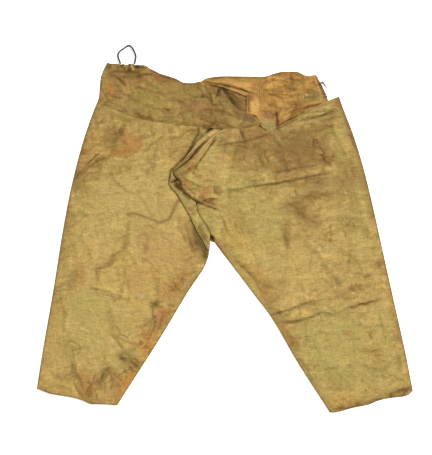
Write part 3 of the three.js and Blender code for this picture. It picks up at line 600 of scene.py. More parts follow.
RIGHT_BLOTS = [
    ((60, -107), 60, 18, 128, LIGHT, 0.7),
    ((132, -258), 80, 16, 122, LIGHT, 0.55),
    ((233, -385), 60, 22, 150, LIGHT, 0.65),
    ((324, -371), 60, 14, 15, LIGHT, 0.45),
    ((288, -90), 40, 30, 30, LIGHT, 0.6),
    ((338, -30), 50, 20, 100, LIGHT, 0.45),
    ((60, 186), 80, 40, 20, BROWN, 0.3),
    ((343, 114), 80, 18, 104, BROWN, 0.5),
    ((288, 126), 50, 30, 90, BROWN, 0.28),
    ((72, 246), 60, 18, 5, BAND_BROWN, 0.45),
    ((204, 246), 50, 30, 20, BAND_BROWN, 0.35),
    ((-31, 2), 8, 5, 125, SHADOW, 0.95),
    ((-14, -15), 16, 9, 122, PINK, 0.7),
    ((-89, 136), 14, 12, 60, ORANGE, 0.55),
    ((-89, 167), 16, 10, 50, BROWN, 0.45),
    ((-31, 205), 40, 20, 55, GREEN, 0.5),
    ((5, 148), 40, 26, 60, GREEN, 0.45),
    ((98, 229), 95, 46, 178, BAND_BROWN, 0.52),
    ((156, 205), 85, 50, 60, BROWN, 0.45),
    ((223, 210), 50, 40, 80, BAND_BROWN, 0.42),
    ((41, 210), 34, 50, 90, OLIVE_BROWN, 0.3),
    ((113, 174), 80, 22, 8, BROWN, 0.4),
    ((194, 301), 60, 8, 22, GREEN, 0.5),
    ((223, 287), 60, 8, 12, GREEN, 0.45),
    ((305, 143), 90, 28, 105, BROWN, 0.45),
    ((223, 114), 80, 30, 165, BROWN, 0.28),
    ((48, -30), 90, 50, 120, YELLOW, 0.5),
    ((288, -385), 60, 20, 15, YELLOW, 0.5),
    ((180, -73), 60, 50, 60, YELLOW, 0.3),
    ((156, -54), 150, 110, 100, LIGHT, 0.35),
    ((264, -258), 120, 90, 100, GREEN, 0.8),
    ((305, -323), 110, 50, 170, GREEN, 0.55),
    ((108, -6), 90, 50, 100, GREEN, 0.35),
    ((382, -222), 110, 30, 102, GREEN, 0.6),
    ((305, 61), 90, 50, 100, GREEN, 0.45),
    ((26, 138), 60, 30, 10, GREEN, 0.5),
    ((103, 54), 80, 40, 10, GREEN, 0.4),
    ((276, 229), 50, 24, 105, GREEN, 0.6),
    ((185, 210), 70, 48, 60, BROWN, 0.42),
    ((146, 177), 26, 12, 110, DARK_BROWN, 0.45),
    ((58, 191), 36, 18, 80, TAN, 0.5),
    ((89, 191), 30, 16, 100, GREY_GREEN, 0.3),
    ((36, 205), 60, 40, 20, BROWN, 0.2),
    ((50, 256), 50, 10, 5, TAN, 0.3),
    ((269, 330), 12, 6, 70, RED_BROWN, 0.5),
    ((266, 306), 34, 18, 60, BROWN, 0.4),
    ((245, 298), 18, 4, 15, GREY_GREEN, 0.6),
    ((233, 138), 40, 20, 10, PURPLE, 0.3),
    ((290, 90), 60, 24, 110, BROWN, 0.32),
    ((289, 108), 2.6, 2.6, 0, CREAM, 0.8),
    ((194, 57), 62, 24, 145, BROWN, 0.4),
    ((166, 71), 38, 22, 150, DARK_BROWN, 0.24),
    ((204, 95), 30, 16, 20, BROWN, 0.5),
    ((185, 61), 18, 10, 140, DARK_BROWN, 0.25),
    ((151, 9), 40, 14, 92, BROWN, 0.45),
    ((305, 28), 30, 20, 40, OLIVE_BROWN, 0.35),
    ((89, -107), 60, 20, 125, ORANGE, 0.4),
    ((185, 52), 16, 8, 150, BROWN, 0.3),
    ((214, 40), 22, 12, 160, BROWN, 0.3),
    ((204, 97), 12, 8, 0, BROWN, 0.4),
    ((149, 4), 32, 12, 100, BROWN, 0.35),
    ((338, 18), 20, 12, 100, GREY_GREEN, 0.4),
    ((271, -104), 14, 8, 120, GREY_GREEN, 0.65),
    ((290, -78), 20, 12, 0, PINK, 0.45),
    ((312, -123), 28, 11, 10, BROWN, 0.5),
    ((306, -123), 8, 7, 0, DARK_BROWN, 0.6),
    ((286, -63), 3, 2, 0, CREAM, 0.9),
    ((290, -75), 3, 2, 0, CREAM, 0.9),
    ((262, -111), 3, 2, 0, CREAM, 0.8),
    ((265, -119), 3, 2, 0, CREAM, 0.8),
    ((103, -119), 18, 12, 30, BROWN, 0.4),
    ((100, -159), 10, 7, 120, ORANGE, 0.45),
    ((-50, 105), 22, 13, 25, BURNT, 0.6),
    ((-17, 112), 12, 14, 0, DARK_BROWN, 0.6),
    ((-34, 83), 24, 7, 155, BURNT, 0.6),
    ((-29, 167), 50, 28, 60, LIGHT, 0.5),
    ((-55, 112), 6, 4, 30, PINK, 0.55),
    ((-38, 102), 5, 7, 70, PINK, 0.55),
    ((-31, 40), 40, 20, 110, GREEN, 0.6),
    ((22, 81), 60, 36, 20, GREEN, 0.55),
    ((-86, 169), 14, 8, 50, BURNT, 0.55),
    ((-89, 124), 16, 11, 0, BURNT, 0.42),
    ((-30, 0), 11, 5.5, 125, SHADOW, 1),
    ((-98, 153), 14, 10, 0, BROWN, 0.5),
    ((-13, -18), 15, 9, 125, PINK, 0.6),
    ((12, 205), 30, 20, 40, GREY_GREEN, 0.2),
    ((194, -169), 12, 8, 160, PINK, 0.5),
    ((137, -215), 8, 8, 0, ORANGE, 0.5),
    ((163, -248), 20, 14, 120, RED_BROWN, 0.45),
    ((293, -229), 18, 8, 0, ORANGE, 0.4),
    ((370, -59), 26, 6, 98, BROWN, 0.55),
    ((418, -299), 26, 8, 98, BROWN, 0.5),
    ((338, -368), 6, 6, 0, RED_BROWN, 0.5),
    ((295, -390), 70, 14, 12, ORANGE, 0.25),
    ((233, -395), 26, 16, 12, TAN, 0.6),
    ((271, 321), 20, 5, 105, RED_BROWN, 0.6),
    ((372, -368), 30, 10, 15, TAN, 0.4),
    ((218, -366), 34, 10, 120, BROWN, 0.28),
    ((125, -236), 80, 10, 123, BROWN, 0.3),
    ((48, -78), 70, 12, 130, BROWN, 0.3),
    ((401, -174), 120, 12, 100, TAN, 0.3),
    ((226, 228), 5, 4, 30, PINK, 0.7),
    ((324, 186), 80, 14, 104, OLIVE, 0.3),
    ((36, 54), 80, 30, 110, OLIVE, 0.28),
]
BAND_BLOTS = [
    ((-281, 369), 22, 26, 100, TAN, 0.7),
    ((-276, 349), 14, 8, 100, BURNT, 0.6),
    ((48, 292), 30, 12, 160, GREY_GREEN, 0.75),
    ((-7, 321), 22, 14, 100, GREY_GREEN, 0.35),
    ((-50, 311), 20, 12, 60, RED_BROWN, 0.35),
    ((-156, 345), 70, 30, 170, BAND_GREEN, 0.35),
    ((-228, 397), 40, 6, 175, DARK_BROWN, 0.4),
    ((26, 323), 20, 12, 130, BAND_BROWN, 0.55),
    ((-252, 306), 50, 12, 160, OLIVE, 0.6),
    ((-277, 357), 20, 14, 100, ORANGE, 0.8),
    ((-295, 321), 10, 8, 0, GREEN, 0.5),
    ((-151, 378), 24, 8, 165, RED_BROWN, 0.55),
    ((-192, 387), 9, 5, 0, PINK, 0.6),
    ((-84, 347), 34, 20, 0, BAND_GREEN, 0.45),
    ((-204, 311), 90, 16, 166, OLIVE, 0.65),
    ((-298, 369), 30, 4, 95, DARK_BROWN, 0.55),
    ((-62, 316), 22, 10, 0, PINK, 0.5),
    ((-7, 301), 14, 14, 0, GREY_GREEN, 0.4),
    ((58, 285), 22, 12, 160, PURPLE, 0.5),
    ((-247, 393), 40, 14, 0, DARK_BROWN, 0.28),
    ((-180, 335), 60, 30, 170, BAND_GREEN, 0.35),
    ((-250, 409), 6, 6, 90, BAND_GREEN, 0.8),
    ((-235, 411), 5, 7, 90, GREEN, 0.6),
    ((-223, 412), 4, 6, 90, BAND_GREEN, 0.8),
    ((-264, 409), 8, 6, 90, TAN, 0.6),
    ((-271, 378), 24, 14, 100, BROWN, 0.35),
    ((36, 301), 24, 18, 150, BAND_BROWN, 0.5),
    ((7, 363), 30, 6, 168, TAN, 0.45),
    ((26, 337), 30, 16, 140, BROWN, 0.45),
    ((-34, 349), 16, 16, 0, BROWN, 0.45),
    ((-252, 325), 36, 14, 160, OLIVE, 0.35),
    ((-127, 364), 30, 12, 170, TAN, 0.3),
    ((-290, 393), 20, 10, 90, GREEN, 0.3),
]
BACK_BLOTS = [
    ((70, 316), 16, 24, 0, INNER_LIGHT, 0.85),
    ((144, 299), 16, 18, 30, INNER_LIGHT, 0.8),
    ((60, 337), 12, 10, 0, RED_BROWN, 0.8),
    ((103, 299), 26, 9, 0, RED_BROWN, 0.55),
    ((26, 373), 50, 6, 167, INNER_LIGHT, 0.7),
    ((113, 378), 30, 10, 10, INNER_LIGHT, 0.4),
    ((156, 335), 50, 12, 5, INNER_GOLD, 0.6),
    ((108, 294), 22, 10, 0, BAND_BROWN, 0.6),
    ((180, 383), 34, 10, 0, INNER_BROWN, 0.5),
    ((149, 343), 4, 4, 0, DARK_BROWN, 0.7),
    ((204, 337), 36, 18, 10, TAB_GREEN, 0.5),
    ((206, 346), 18, 13, 0, GREY_GREEN, 0.4),
    ((211, 340), 20, 12, 0, TAB_GREEN, 0.6),
    ((196, 343), 4, 3, 0, CREAM, 0.9),
    ((96, 294), 22, 12, 0, PINK, 0.45),
    ((17, 379), 50, 7, 0, BROWN, 0.4),
    ((113, 364), 20, 12, 20, INNER_GOLD, 0.45),
    ((175, 373), 22, 14, 0, BROWN, 0.35),
    ((180, 321), 30, 8, 170, RED_BROWN, 0.25),
    ((223, 373), 14, 12, 0, RED_BROWN, 0.35),
    ((-2, 376), 30, 6, 0, INNER_GOLD, 0.4),
]
GUSSET_BLOTS = [
    ((-98, 97), 32, 10, 119, GREEN, 0.5),
    ((-86, 67), 8, 6, 0, RED_BROWN, 0.85),
    ((-55, 11), 32, 10, 119, GREY_GREEN, 0.55),
    ((-77, 70), 4, 4, 0, RED_BROWN, 0.8),
    ((-85, 56), 6, 4, 30, RED_BROWN, 0.85),
    ((-84, 61), 2, 1.4, 0, CREAM, 0.9),
    ((-115, 126), 10, 6, 50, DARK_BROWN, 0.65),
    ((-86, 76), 40, 12, 120, LIGHT, 0.35),
]

# Lines: colour, strength, half-width, path.
LEFT_LINES = [
    (CREASE_SHADE, 0.75, 1.6, [(-358, 145), (-338, 167), (-319, 185), (-298, 208)]),
    (BROWN, 0.55, 1.8, [(-209, 4), (-194, 11), (-185, -1), (-190, -20), (-178, -35)]),
    (BROWN, 0.5, 1.8, [(-180, 28), (-161, 18), (-146, -1), (-127, -13)]),
    (DARK_BROWN, 0.4, 1.4, [(-118, 28), (-103, 9), (-89, -20), (-74, -39)]),
    (BROWN, 0.5, 1.6, [(-197, -49), (-180, -59), (-166, -78), (-151, -87)]),
    (DARK_BROWN, 0.4, 1.4, [(-281, -229), (-266, -241), (-252, -255), (-238, -270)]),
    (DARK_BROWN, 0.55, 1.4, [(-262, -212), (-250, -231), (-235, -241), (-228, -231)]),
    (DARK_BROWN, 0.65, 1.4, [(-252, -287), (-235, -301), (-221, -318), (-209, -323)]),
    (DARK_BROWN, 0.55, 1.4, [(-242, -275), (-228, -284), (-211, -294), (-199, -303)]),
    (DARK_BROWN, 0.6, 1.4, [(-358, -299), (-358, -323), (-348, -342), (-338, -366), (-324, -385)]),
    (DARK_BROWN, 0.6, 1.4, [(-338, -332), (-324, -347), (-312, -368), (-305, -390)]),
    (DARK_BROWN, 0.6, 1.4, [(-312, -327), (-317, -347), (-329, -361), (-334, -380)]),
    (DARK_BROWN, 0.55, 1.4, [(-290, -313), (-276, -327), (-269, -347), (-274, -366)]),
    (DARK_BROWN, 0.55, 1.4, [(-271, -323), (-254, -337), (-242, -356)]),
    (RED_BROWN, 0.6, 1.8, [(-290, -351), (-271, -342), (-252, -327), (-233, -320)]),
    (RED_BROWN, 0.55, 1.6, [(-353, -323), (-346, -342), (-338, -351)]),
    (DARK_BROWN, 0.42, 1.4, [(-175, -164), (-173, -183), (-168, -207), (-173, -227)]),
    (DARK_BROWN, 0.45, 1.4, [(-180, -155), (-161, -164), (-144, -169)]),
    (DARK_BROWN, 0.5, 1.2, [(-228, -294), (-218, -289), (-209, -299), (-214, -311), (-204, -318)]),
    (DARK_BROWN, 0.5, 1.2, [(-242, -313), (-235, -327), (-240, -342), (-230, -351)]),
    (DARK_BROWN, 0.45, 1.2, [(-346, -351), (-334, -344), (-319, -354), (-307, -344), (-293, -356)]),
    (DARK_BROWN, 0.45, 1.2, [(-302, -308), (-293, -323), (-298, -339), (-286, -354), (-290, -373)]),
    (RED_BROWN, 0.5, 1.4, [(-247, -323), (-230, -315), (-216, -306), (-202, -299)]),
    (DARK_BROWN, 0.4, 1.2, [(-382, -255), (-367, -248), (-350, -258), (-348, -275), (-362, -284)]),
    (DARK_BROWN, 0.4, 1.2, [(-262, -241), (-250, -231), (-235, -239), (-230, -253)]),
    (DARK_BROWN, 0.45, 1.2, [(-206, -246), (-192, -255), (-180, -267), (-185, -282)]),
    (CREAM, 0.2, 1.4, [(-163, -169), (-158, -193), (-161, -212)]),
    (RED_BROWN, 0.6, 1.4, [(-156, -171), (-149, -188), (-154, -207), (-161, -222)]),
    (RED_BROWN, 0.55, 1.4, [(-144, -179), (-139, -193), (-146, -212)]),
    (BROWN, 0.55, 1.4, [(-151, -111), (-144, -131), (-132, -145)]),
    (BROWN, 0.55, 1.4, [(-137, -97), (-122, -111), (-108, -121)]),
    (CREAM, 0.3, 1.4, [(-146, -116), (-139, -133), (-127, -147)]),
    (DARK_BROWN, 0.55, 1.4, [(-127, -102), (-118, -116), (-106, -131)]),
    (BROWN, 0.55, 1.6, [(-190, -193), (-175, -203), (-180, -222), (-194, -241)]),
    (BROWN, 0.55, 1.8, [(-307, -59), (-312, -78), (-305, -102)]),
    (BROWN, 0.6, 1.8, [(-319, -78), (-290, -68), (-271, -68), (-269, -44), (-247, -30)]),
    (RED_BROWN, 0.45, 2.2, [(-276, 208), (-262, 195), (-238, 193), (-214, 205), (-197, 227)]),
    (BROWN, 0.6, 2.4, [(-180, -150), (-175, -179), (-166, -203), (-175, -227), (-190, -251)]),
    (DARK_BROWN, 0.6, 2.2, [(-144, -109), (-130, -121), (-118, -133)]),
    (DARK_BROWN, 0.65, 2.2, [(-254, -291), (-233, -289), (-216, -301), (-206, -313)]),
    (DARK_BROWN, 0.5, 2, [(-247, -303), (-230, -313), (-218, -325)]),
    (DARK_BROWN, 0.55, 2, [(-300, -342), (-290, -323), (-276, -308)]),
    (DARK_BROWN, 0.55, 2.2, [(-362, -347), (-353, -366), (-343, -385)]),
    (BROWN, 0.5, 2, [(-365, -270), (-360, -303), (-355, -337)]),
    (BROWN, 0.4, 3.4, [(-240, -73), (-242, -102), (-247, -126), (-252, -143)]),
    (BROWN, 0.45, 3.2, [(-310, -78), (-290, -71), (-271, -63)]),
    (BROWN, 0.62, 3.4, [(-238, 57), (-218, 59), (-202, 54), (-180, 44), (-156, 37), (-137, 42),
                        (-127, 59), (-118, 81), (-103, 109)]),
    (DARK_BROWN, 0.3, 1.8, [(-235, 52), (-221, 58), (-199, 52), (-175, 41), (-151, 36), (-134, 45),
                            (-122, 71)]),
    (BROWN, 0.36, 4.8, [(-230, 71), (-233, 23), (-238, -18), (-247, -30), (-271, -44), (-274, -59),
                        (-300, -68), (-305, -83), (-307, -111), (-310, -123)]),
    (DARK_BROWN, 0.4, 1.8, [(-319, -121), (-288, -128), (-257, -138), (-247, -140), (-271, -155)]),
    (BROWN, 0.45, 2.6, [(-175, -150), (-173, -174), (-170, -198)]),
    (DARK_BROWN, 0.3, 2, [(-317, 306), (-310, 287), (-312, 268)]),
    (DARK_BROWN, 0.45, 1.8, [(-252, -335), (-245, -344), (-240, -354)]),
    (CREAM, 0.22, 2, [(-170, 239), (-166, 205), (-161, 172)]),
    (CREAM, 0.18, 1.8, [(-290, 148), (-281, 114), (-278, 81)]),
    (GREY_GREEN, 0.45, 2.4, [(-238, -287), (-218, -299), (-202, -311)]),
    (SHADOW, 0.28, 1.4, [(-449, -362), (-420, -373), (-348, -389), (-300, -399), (-262, -402)]),
    (CREASE_SHADE, 0.75, 1.8, [(-64, 270), (-62, 249), (-74, 233), (-84, 211), (-97, 196), (-117, 175),
                         (-132, 161), (-135, 133)]),
    # Painted shadow on the left leg beside the gusset's fold.
    (GREY_GREEN, 0.8, 6, [(-50, 263), (-60, 246), (-72, 229), (-84, 211), (-98, 194)]),
    (CREASE_SHADE, 0.7, 4, [(-55, 268), (-45, 263), (-38, 257)]),
    (SHADOW, 0.8, 2.6, [(-48, 265), (-41, 262), (-35, 265)]),
    # Painted shadow on the left leg beside the gusset's lower edge.
    (DEEP_GREEN_SHADE, 0.85, 9, [(-72, 18), (-60, -6), (-50, -25), (-45, -54)]),
    (CREASE_SHADE, 0.4, 1.8, [(-84, 45), (-74, 19), (-65, -6)]),
    (STRIPE, 0.8, 2.6, [(-77, 210), (-65, 224), (-50, 237), (-34, 250), (-14, 260)]),
    (CREASE_SHADE, 0.95, 1.8, [(-98, 193), (-86, 209), (-72, 226), (-58, 240), (-43, 253), (-29, 263)]),
    (CREASE_SHADE, 0.85, 1.6, [(-66, 273), (-63, 253), (-69, 239), (-79, 225), (-86, 208)]),
    (SHADOW, 0.98, 3.4, [(-50, 253), (-37, 259), (-26, 265)]),
    # Painted shade: a thin dark line down the outer edge.
    (DARK_BROWN, 0.38, 1.8, down_edge(LEFT_OUTER)),
]
RIGHT_LINES = [
    (CREASE_SHADE, 0.85, 2, [(126, 268), (142, 276), (156, 285), (170, 292)]),
    (DARK_BROWN, 0.65, 1.8, [(170, 292), (190, 298), (218, 301), (252, 306), (269, 311)]),
    (DARK_BROWN, 0.55, 1.6, [(156, 280), (180, 285), (209, 292), (242, 294)]),
    (CREAM, 0.4, 1.4, [(180, 305), (209, 316), (238, 324), (262, 334)]),
    (CREASE_SHADE, 0.9, 1.6, [(-58, 221), (-46, 234), (-31, 248), (-15, 262)]),
    (CREASE_SHADE, 0.85, 1.8, [(-23, 241), (-31, 225), (-46, 207), (-60, 185), (-70, 169), (-76, 154)]),
    (CREASE_SHADE, 0.55, 1.4, [(-70, 203), (-55, 219), (-38, 235), (-24, 247)]),
    (STRIPE, 0.85, 2.4, [(-65, 198), (-53, 216), (-36, 235), (-22, 250), (-7, 258), (10, 261)]),
    (STRIPE, 0.55, 2, [(-58, 193), (-43, 216), (-30, 237)]),
    (BROWN, 0.6, 2.4, [(-46, 121), (-31, 124), (-17, 117), (-7, 105)]),
    (CREASE_SHADE, 0.6, 2, [(-26, 119), (-22, 107), (-7, 100)]),
    (BROWN, 0.5, 2.2, [(-48, 136), (-34, 138), (-22, 136)]),
    (CREASE_SHADE, 0.6, 2.2, [(127, 268), (146, 277), (170, 288)]),
    (CREASE_SHADE, 0.95, 2.4, [(35, 263), (38, 253), (45, 239)]),
    (CREASE_SHADE, 0.5, 1.8, [(45, 239), (48, 229), (46, 220)]),
    (ORANGE, 0.35, 3.6, [(-7, 251), (12, 255), (31, 256)]),
    (DARK_BROWN, 0.6, 2.2, [(401, -371), (420, -365), (444, -361)]),
    (SHADOW, 0.6, 1.6, [(254, -416), (324, -402), (372, -386), (425, -378), (451, -359)]),
    (DARK_BROWN, 0.4, 2, [(31, -59), (55, -83), (79, -111), (98, -150)]),
    (RED_BROWN, 0.5, 4.4, [(-60, 213), (-70, 198), (-84, 181), (-98, 169)]),
    (STRIPE, 0.6, 1.8, [(-70, 189), (-84, 174), (-98, 163)]),
    (CREASE_SHADE, 0.95, 1.8, [(-55, 223), (-68, 210), (-84, 190), (-101, 173), (-118, 163), (-125, 159)]),
    (SHADOW, 0.85, 2.6, [(-58, 221), (-70, 207), (-83, 190), (-95, 179)]),
    (STRIPE, 0.6, 2.2, [(-14, 237), (-29, 215), (-46, 189)]),
    (BROWN, 0.6, 2.2, [(-106, 153), (-91, 158), (-79, 166)]),
    (DARK_BROWN, 0.7, 1.6, [(-89, 169), (-85, 165), (-88, 160), (-91, 165)]),
    (CREASE_SHADE, 0.95, 3.6, [(-122, 151), (-107, 135), (-103, 121), (-91, 105), (-78, 94), (-55, 81)]),
    # Painted light: lightens the shade cast along the right front's sewn edge.
    (GREEN, 0.85, 2, [(-64, 78), (-61, 59), (-50, 37), (-36, 11)]),
    (SHADOW, 0.8, 2.4, [(-117, 141), (-109, 129), (-103, 115)]),
    (CREASE_SHADE, 0.95, 2.4, [(-70, 87), (-53, 81), (-36, 74), (-18, 66)]),
    (STRIPE, 0.55, 1.4, [(-53, 84), (-38, 80), (-24, 72)]),
    (CREASE_SHADE, 0.6, 1.4, [(-53, 88), (-38, 84), (-22, 77)]),
    (CREASE_SHADE, 0.7, 1.6, [(-55, 89), (-34, 93), (-2, 95)]),
    (BROWN, 0.6, 1.8, [(-10, 258), (12, 262), (43, 263), (89, 266)]),
    (CREAM, 0.16, 1.2, [(115, 252), (130, 234), (139, 220)]),
    (BROWN, 0.5, 1.6, [(137, 210), (149, 193), (161, 177)]),
    (DARK_BROWN, 0.65, 1.6, [(214, 234), (214, 225), (219, 217), (227, 219)]),
    (RED_BROWN, 0.6, 1.4, [(216, 238), (223, 231), (229, 224)]),
    (DARK_BROWN, 0.75, 1.8, [(226, 217), (234, 211), (239, 203), (235, 196), (239, 187), (247, 181),
                             (254, 174)]),
    (DARK_BROWN, 0.5, 1.4, [(230, 198), (238, 194), (245, 190)]),
    (RED_BROWN, 0.55, 1.6, [(242, 186), (252, 187), (257, 179)]),
    (DARK_BROWN, 0.45, 2.6, [(127, 66), (154, 80), (166, 78), (175, 64), (194, 49)]),
    (DARK_BROWN, 0.35, 1.8, [(185, 54), (206, 42), (226, 25)]),
    (DARK_BROWN, 0.5, 1.6, [(185, 90), (199, 102), (214, 100), (218, 88)]),
    (BROWN, 0.55, 1.8, [(146, 37), (144, 13), (151, -15)]),
    (DARK_BROWN, 0.4, 1.4, [(266, 52), (276, 37), (290, 28), (298, 37)]),
    (DARK_BROWN, 0.38, 1.4, [(286, 52), (300, 42), (310, 28), (305, 13)]),
    (STRIPE, 0.4, 1.6, [(242, 57), (262, 64), (286, 71), (305, 83)]),
    (STRIPE, 0.4, 1.6, [(300, 33), (319, 45), (343, 61)]),
    (STRIPE, 0.35, 1.4, [(271, 90), (283, 81), (300, 90)]),
    (DARK_BROWN, 0.45, 1.4, [(329, 28), (341, 18), (343, -1)]),
    (BROWN, 0.5, 1.4, [(10, 23), (26, 28), (41, 21), (46, 4)]),
    (BROWN, 0.5, 1.4, [(-17, 57), (-2, 47), (0, 28), (7, 4)]),
    (DARK_BROWN, 0.45, 1.2, [(223, 124), (242, 114), (257, 100)]),
    (DARK_BROWN, 0.45, 1.2, [(266, 148), (281, 136), (288, 119)]),
    (DARK_BROWN, 0.45, 1.4, [(89, 205), (84, 186), (94, 169)]),
    (DARK_BROWN, 0.4, 1.4, [(46, 225), (50, 205), (43, 186)]),
    (DARK_BROWN, 0.28, 1.2, [(286, 205), (295, 181), (305, 157), (312, 138)]),
    (GREY_GREEN, 0.3, 1.4, [(254, 273), (264, 256), (266, 237)]),
    (STRIPE, 0.35, 1.6, [(286, 263), (300, 229), (310, 196)]),
    (STRIPE, 0.3, 1.4, [(271, 249), (283, 220), (300, 191)]),
    (STRIPE, 0.35, 1.4, [(252, 177), (276, 184), (305, 196)]),
    (CREASE_SHADE, 0.9, 2.4, [(122, 282), (126, 270), (130, 258)]),
    (CREASE_SHADE, 0.85, 1.8, [(122, 259), (146, 270), (173, 284)]),
    (CREASE_SHADE, 0.7, 2.2, [(175, 277), (199, 286), (223, 289), (242, 297), (266, 307)]),
    (PURPLE, 0.8, 3.6, [(271, 349), (281, 316), (290, 282), (302, 244), (314, 210)]),
    (STRIPE, 0.4, 1.6, [(233, 311), (252, 316), (266, 323)]),
    (ORANGE, 0.5, 2, [(180, 297), (209, 310), (245, 324)]),
    (DARK_BROWN, 0.5, 1.4, [(185, 303), (214, 314), (252, 332)]),
    (BROWN, 0.35, 2.4, [(146, 61), (166, 64), (180, 54), (187, 45)]),
    (BROWN, 0.28, 1.8, [(187, -6), (214, -25), (233, -49), (252, -83)]),
    (BROWN, 0.35, 1.4, [(218, 23), (252, -6), (276, -30)]),
    (BROWN, 0.35, 2.2, [(18, -51), (62, -90), (96, -120), (150, -128)]),
    (DARK_BROWN, 0.35, 1.8, [(270, 54), (283, 42), (298, 28)]),
    (DARK_BROWN, 0.45, 1.2, [(300, -243), (326, -245)]),
    (DARK_BROWN, 0.4, 1.2, [(336, -272), (365, -272)]),
    (DARK_BROWN, 0.45, 1.4, [(238, -318), (257, -313), (276, -306)]),
    (DARK_BROWN, 0.4, 1.4, [(290, -308), (307, -301), (322, -299)]),
    (DARK_BROWN, 0.4, 1.4, [(350, -311), (367, -320), (382, -330)]),
    (DARK_BROWN, 0.4, 1.4, [(374, -332), (391, -337), (406, -344)]),
    (BROWN, 0.4, 1.6, [(204, -315), (211, -325), (216, -332)]),
    (BROWN, 0.4, 1.6, [(276, -335), (286, -339), (293, -347)]),
    (RED_BROWN, 0.5, 1.4, [(394, -378), (410, -372), (426, -366), (444, -363)]),
    (SHADOW, 0.35, 1.2, [(254, -415), (310, -404), (346, -397), (372, -387), (396, -383), (449, -368)]),
    (DARK_BROWN, 0.35, 1.6, [(-31, 9), (-26, -11), (-7, -35)]),
    (SHADOW, 0.8, 1.8, [(34, 265), (38, 254), (48, 234)]),
    # Painted shade: a thin dark line down the outer edge.
    (DARK_BROWN, 0.48, 2, down_edge(RIGHT_OUTER)),
]
BAND_LINES = [
    (CREASE_SHADE, 0.8, 1.4, [(-2, 358), (22, 350), (46, 341)]),
    (CREASE_SHADE, 0.7, 1.4, [(12, 349), (31, 336), (48, 328)]),
    (DARK_BROWN, 0.6, 1.4, [(-7, 359), (2, 340), (17, 321), (36, 306)]),
    (DARK_BROWN, 0.6, 1.6, [(-185, 391), (-199, 390), (-214, 385)]),
    (DARK_BROWN, 0.55, 1.6, [(-156, 390), (-127, 378), (-103, 371)]),
    (DARK_BROWN, 0.5, 1.4, [(-46, 340), (-31, 321), (-34, 301)]),
    (DARK_BROWN, 0.45, 1.4, [(-17, 330), (-2, 311), (-7, 292)]),
    (CREASE_SHADE, 0.85, 1.8, [(-53, 273), (-43, 270), (-36, 266)]),
    (CREASE_SHADE, 0.75, 1.8, [(-19, 271), (-14, 267)]),
    (DARK_BROWN, 0.6, 1.6, [(-34, 280), (-31, 273), (-34, 265)]),
    (CREASE_SHADE, 0.95, 2.4, [(-41, 370), (-24, 367), (-10, 364), (12, 355), (34, 348), (53, 339)]),
    (CREASE_SHADE, 0.85, 2, [(-10, 364), (7, 347), (24, 328), (38, 313)]),
    (CREASE_SHADE, 0.75, 1.8, [(-10, 361), (-17, 349), (-20, 335)]),
    (SHADOW, 0.9, 2.6, [(50, 345), (51, 321), (53, 299)]),
    (SHADOW, 0.7, 2, [(48, 306), (62, 298), (79, 290)]),
    (CREASE_SHADE, 0.6, 1.8, [(52, 304), (65, 298), (79, 292)]),
    (CREASE_SHADE, 0.6, 1.8, [(-29, 354), (-19, 342), (-7, 340)]),
    (CREASE_SHADE, 0.45, 1.8, [(2, 337), (26, 330), (46, 323)]),
    (DARK_BROWN, 0.5, 1.4, [(-271, 309), (-235, 303), (-185, 289), (-154, 280), (-113, 277), (-84, 271),
                            (-53, 268)]),
    (SHADOW, 0.85, 2.2, [(-230, 418), (-229, 412), (-227, 403)]),
    (SHADOW, 0.75, 1.6, [(-221, 417), (-217, 411), (-214, 405)]),
    (SHADOW, 0.8, 2, [(-211, 417), (-209, 411), (-209, 403)]),
    (SHADOW, 0.6, 1.6, [(-250, 417), (-248, 411)]),
    (SHADOW, 0.55, 1.6, [(-274, 417), (-275, 411), (-281, 407)]),
    (SHADOW, 0.55, 1.6, [(-258, 417), (-257, 409)]),
    (GREY_GREEN, 0.6, 3, [(-257, 422), (-247, 412), (-233, 412), (-218, 405), (-209, 409)]),
    (BAND_GREEN, 0.75, 1.6, [(-257, 422), (-252, 408)]),
    (GREEN, 0.6, 1.6, [(-242, 422), (-239, 404)]),
    (BAND_GREEN, 0.6, 1.4, [(-235, 421), (-234, 403)]),
    (GREEN, 0.75, 1.4, [(-225, 414), (-219, 400)]),
    (BAND_GREEN, 0.7, 1.4, [(-216, 420), (-211, 402)]),
    (SHADOW, 0.8, 2, [(-220, 421), (-216, 412), (-210, 406), (-205, 412)]),
    (SHADOW, 0.6, 1.4, [(-253, 409), (-245, 406), (-235, 408), (-228, 401)]),
    (SHADOW, 0.7, 1.6, [(-249, 424), (-247, 409)]),
    (TAN, 0.7, 1.6, [(-269, 420), (-271, 408)]),
    (SHADOW, 0.5, 1.2, [(-246, 418), (-244, 407)]),
    (SHADOW, 0.5, 1.2, [(-265, 418), (-264, 409)]),
    (SHADOW, 0.6, 1.6, [(-283, 420), (-276, 417), (-265, 418)]),
    (SHADOW, 0.35, 1.6, [(-238, 402), (-226, 400), (-211, 397)]),
    (SHADOW, 0.2, 1.4, [(-276, 399), (-247, 399), (-209, 397)]),
    (DARK_BROWN, 0.55, 1.6, [(-288, 395), (-271, 391), (-259, 385), (-242, 371), (-235, 361)]),
    (CREAM, 0.3, 1.4, [(-2, 360), (24, 354), (53, 343)]),
    (SHADOW, 0.75, 2.2, [(-180, 403), (-146, 388), (-106, 373), (-70, 371)]),
    (RED_BROWN, 0.5, 3, [(-180, 395), (-151, 384), (-118, 371), (-94, 364)]),
    (DARK_BROWN, 0.5, 1.4, [(-103, 359), (-84, 340), (-62, 335), (-46, 342)]),
    (DARK_BROWN, 0.45, 1.4, [(2, 330), (19, 311), (31, 292)]),
    (GREY_GREEN, 0.55, 1.6, [(12, 342), (31, 328), (46, 316)]),
    (GREY_GREEN, 0.55, 1.6, [(2, 340), (24, 316), (43, 304)]),
    (SHADOW, 0.8, 2.6, [(-14, 361), (19, 350), (58, 335)]),
    (SHADOW, 0.6, 2.2, [(-12, 366), (-16, 352), (-23, 333)]),
    (SHADOW, 0.55, 2.2, [(-14, 366), (2, 345), (17, 328), (38, 306)]),
]
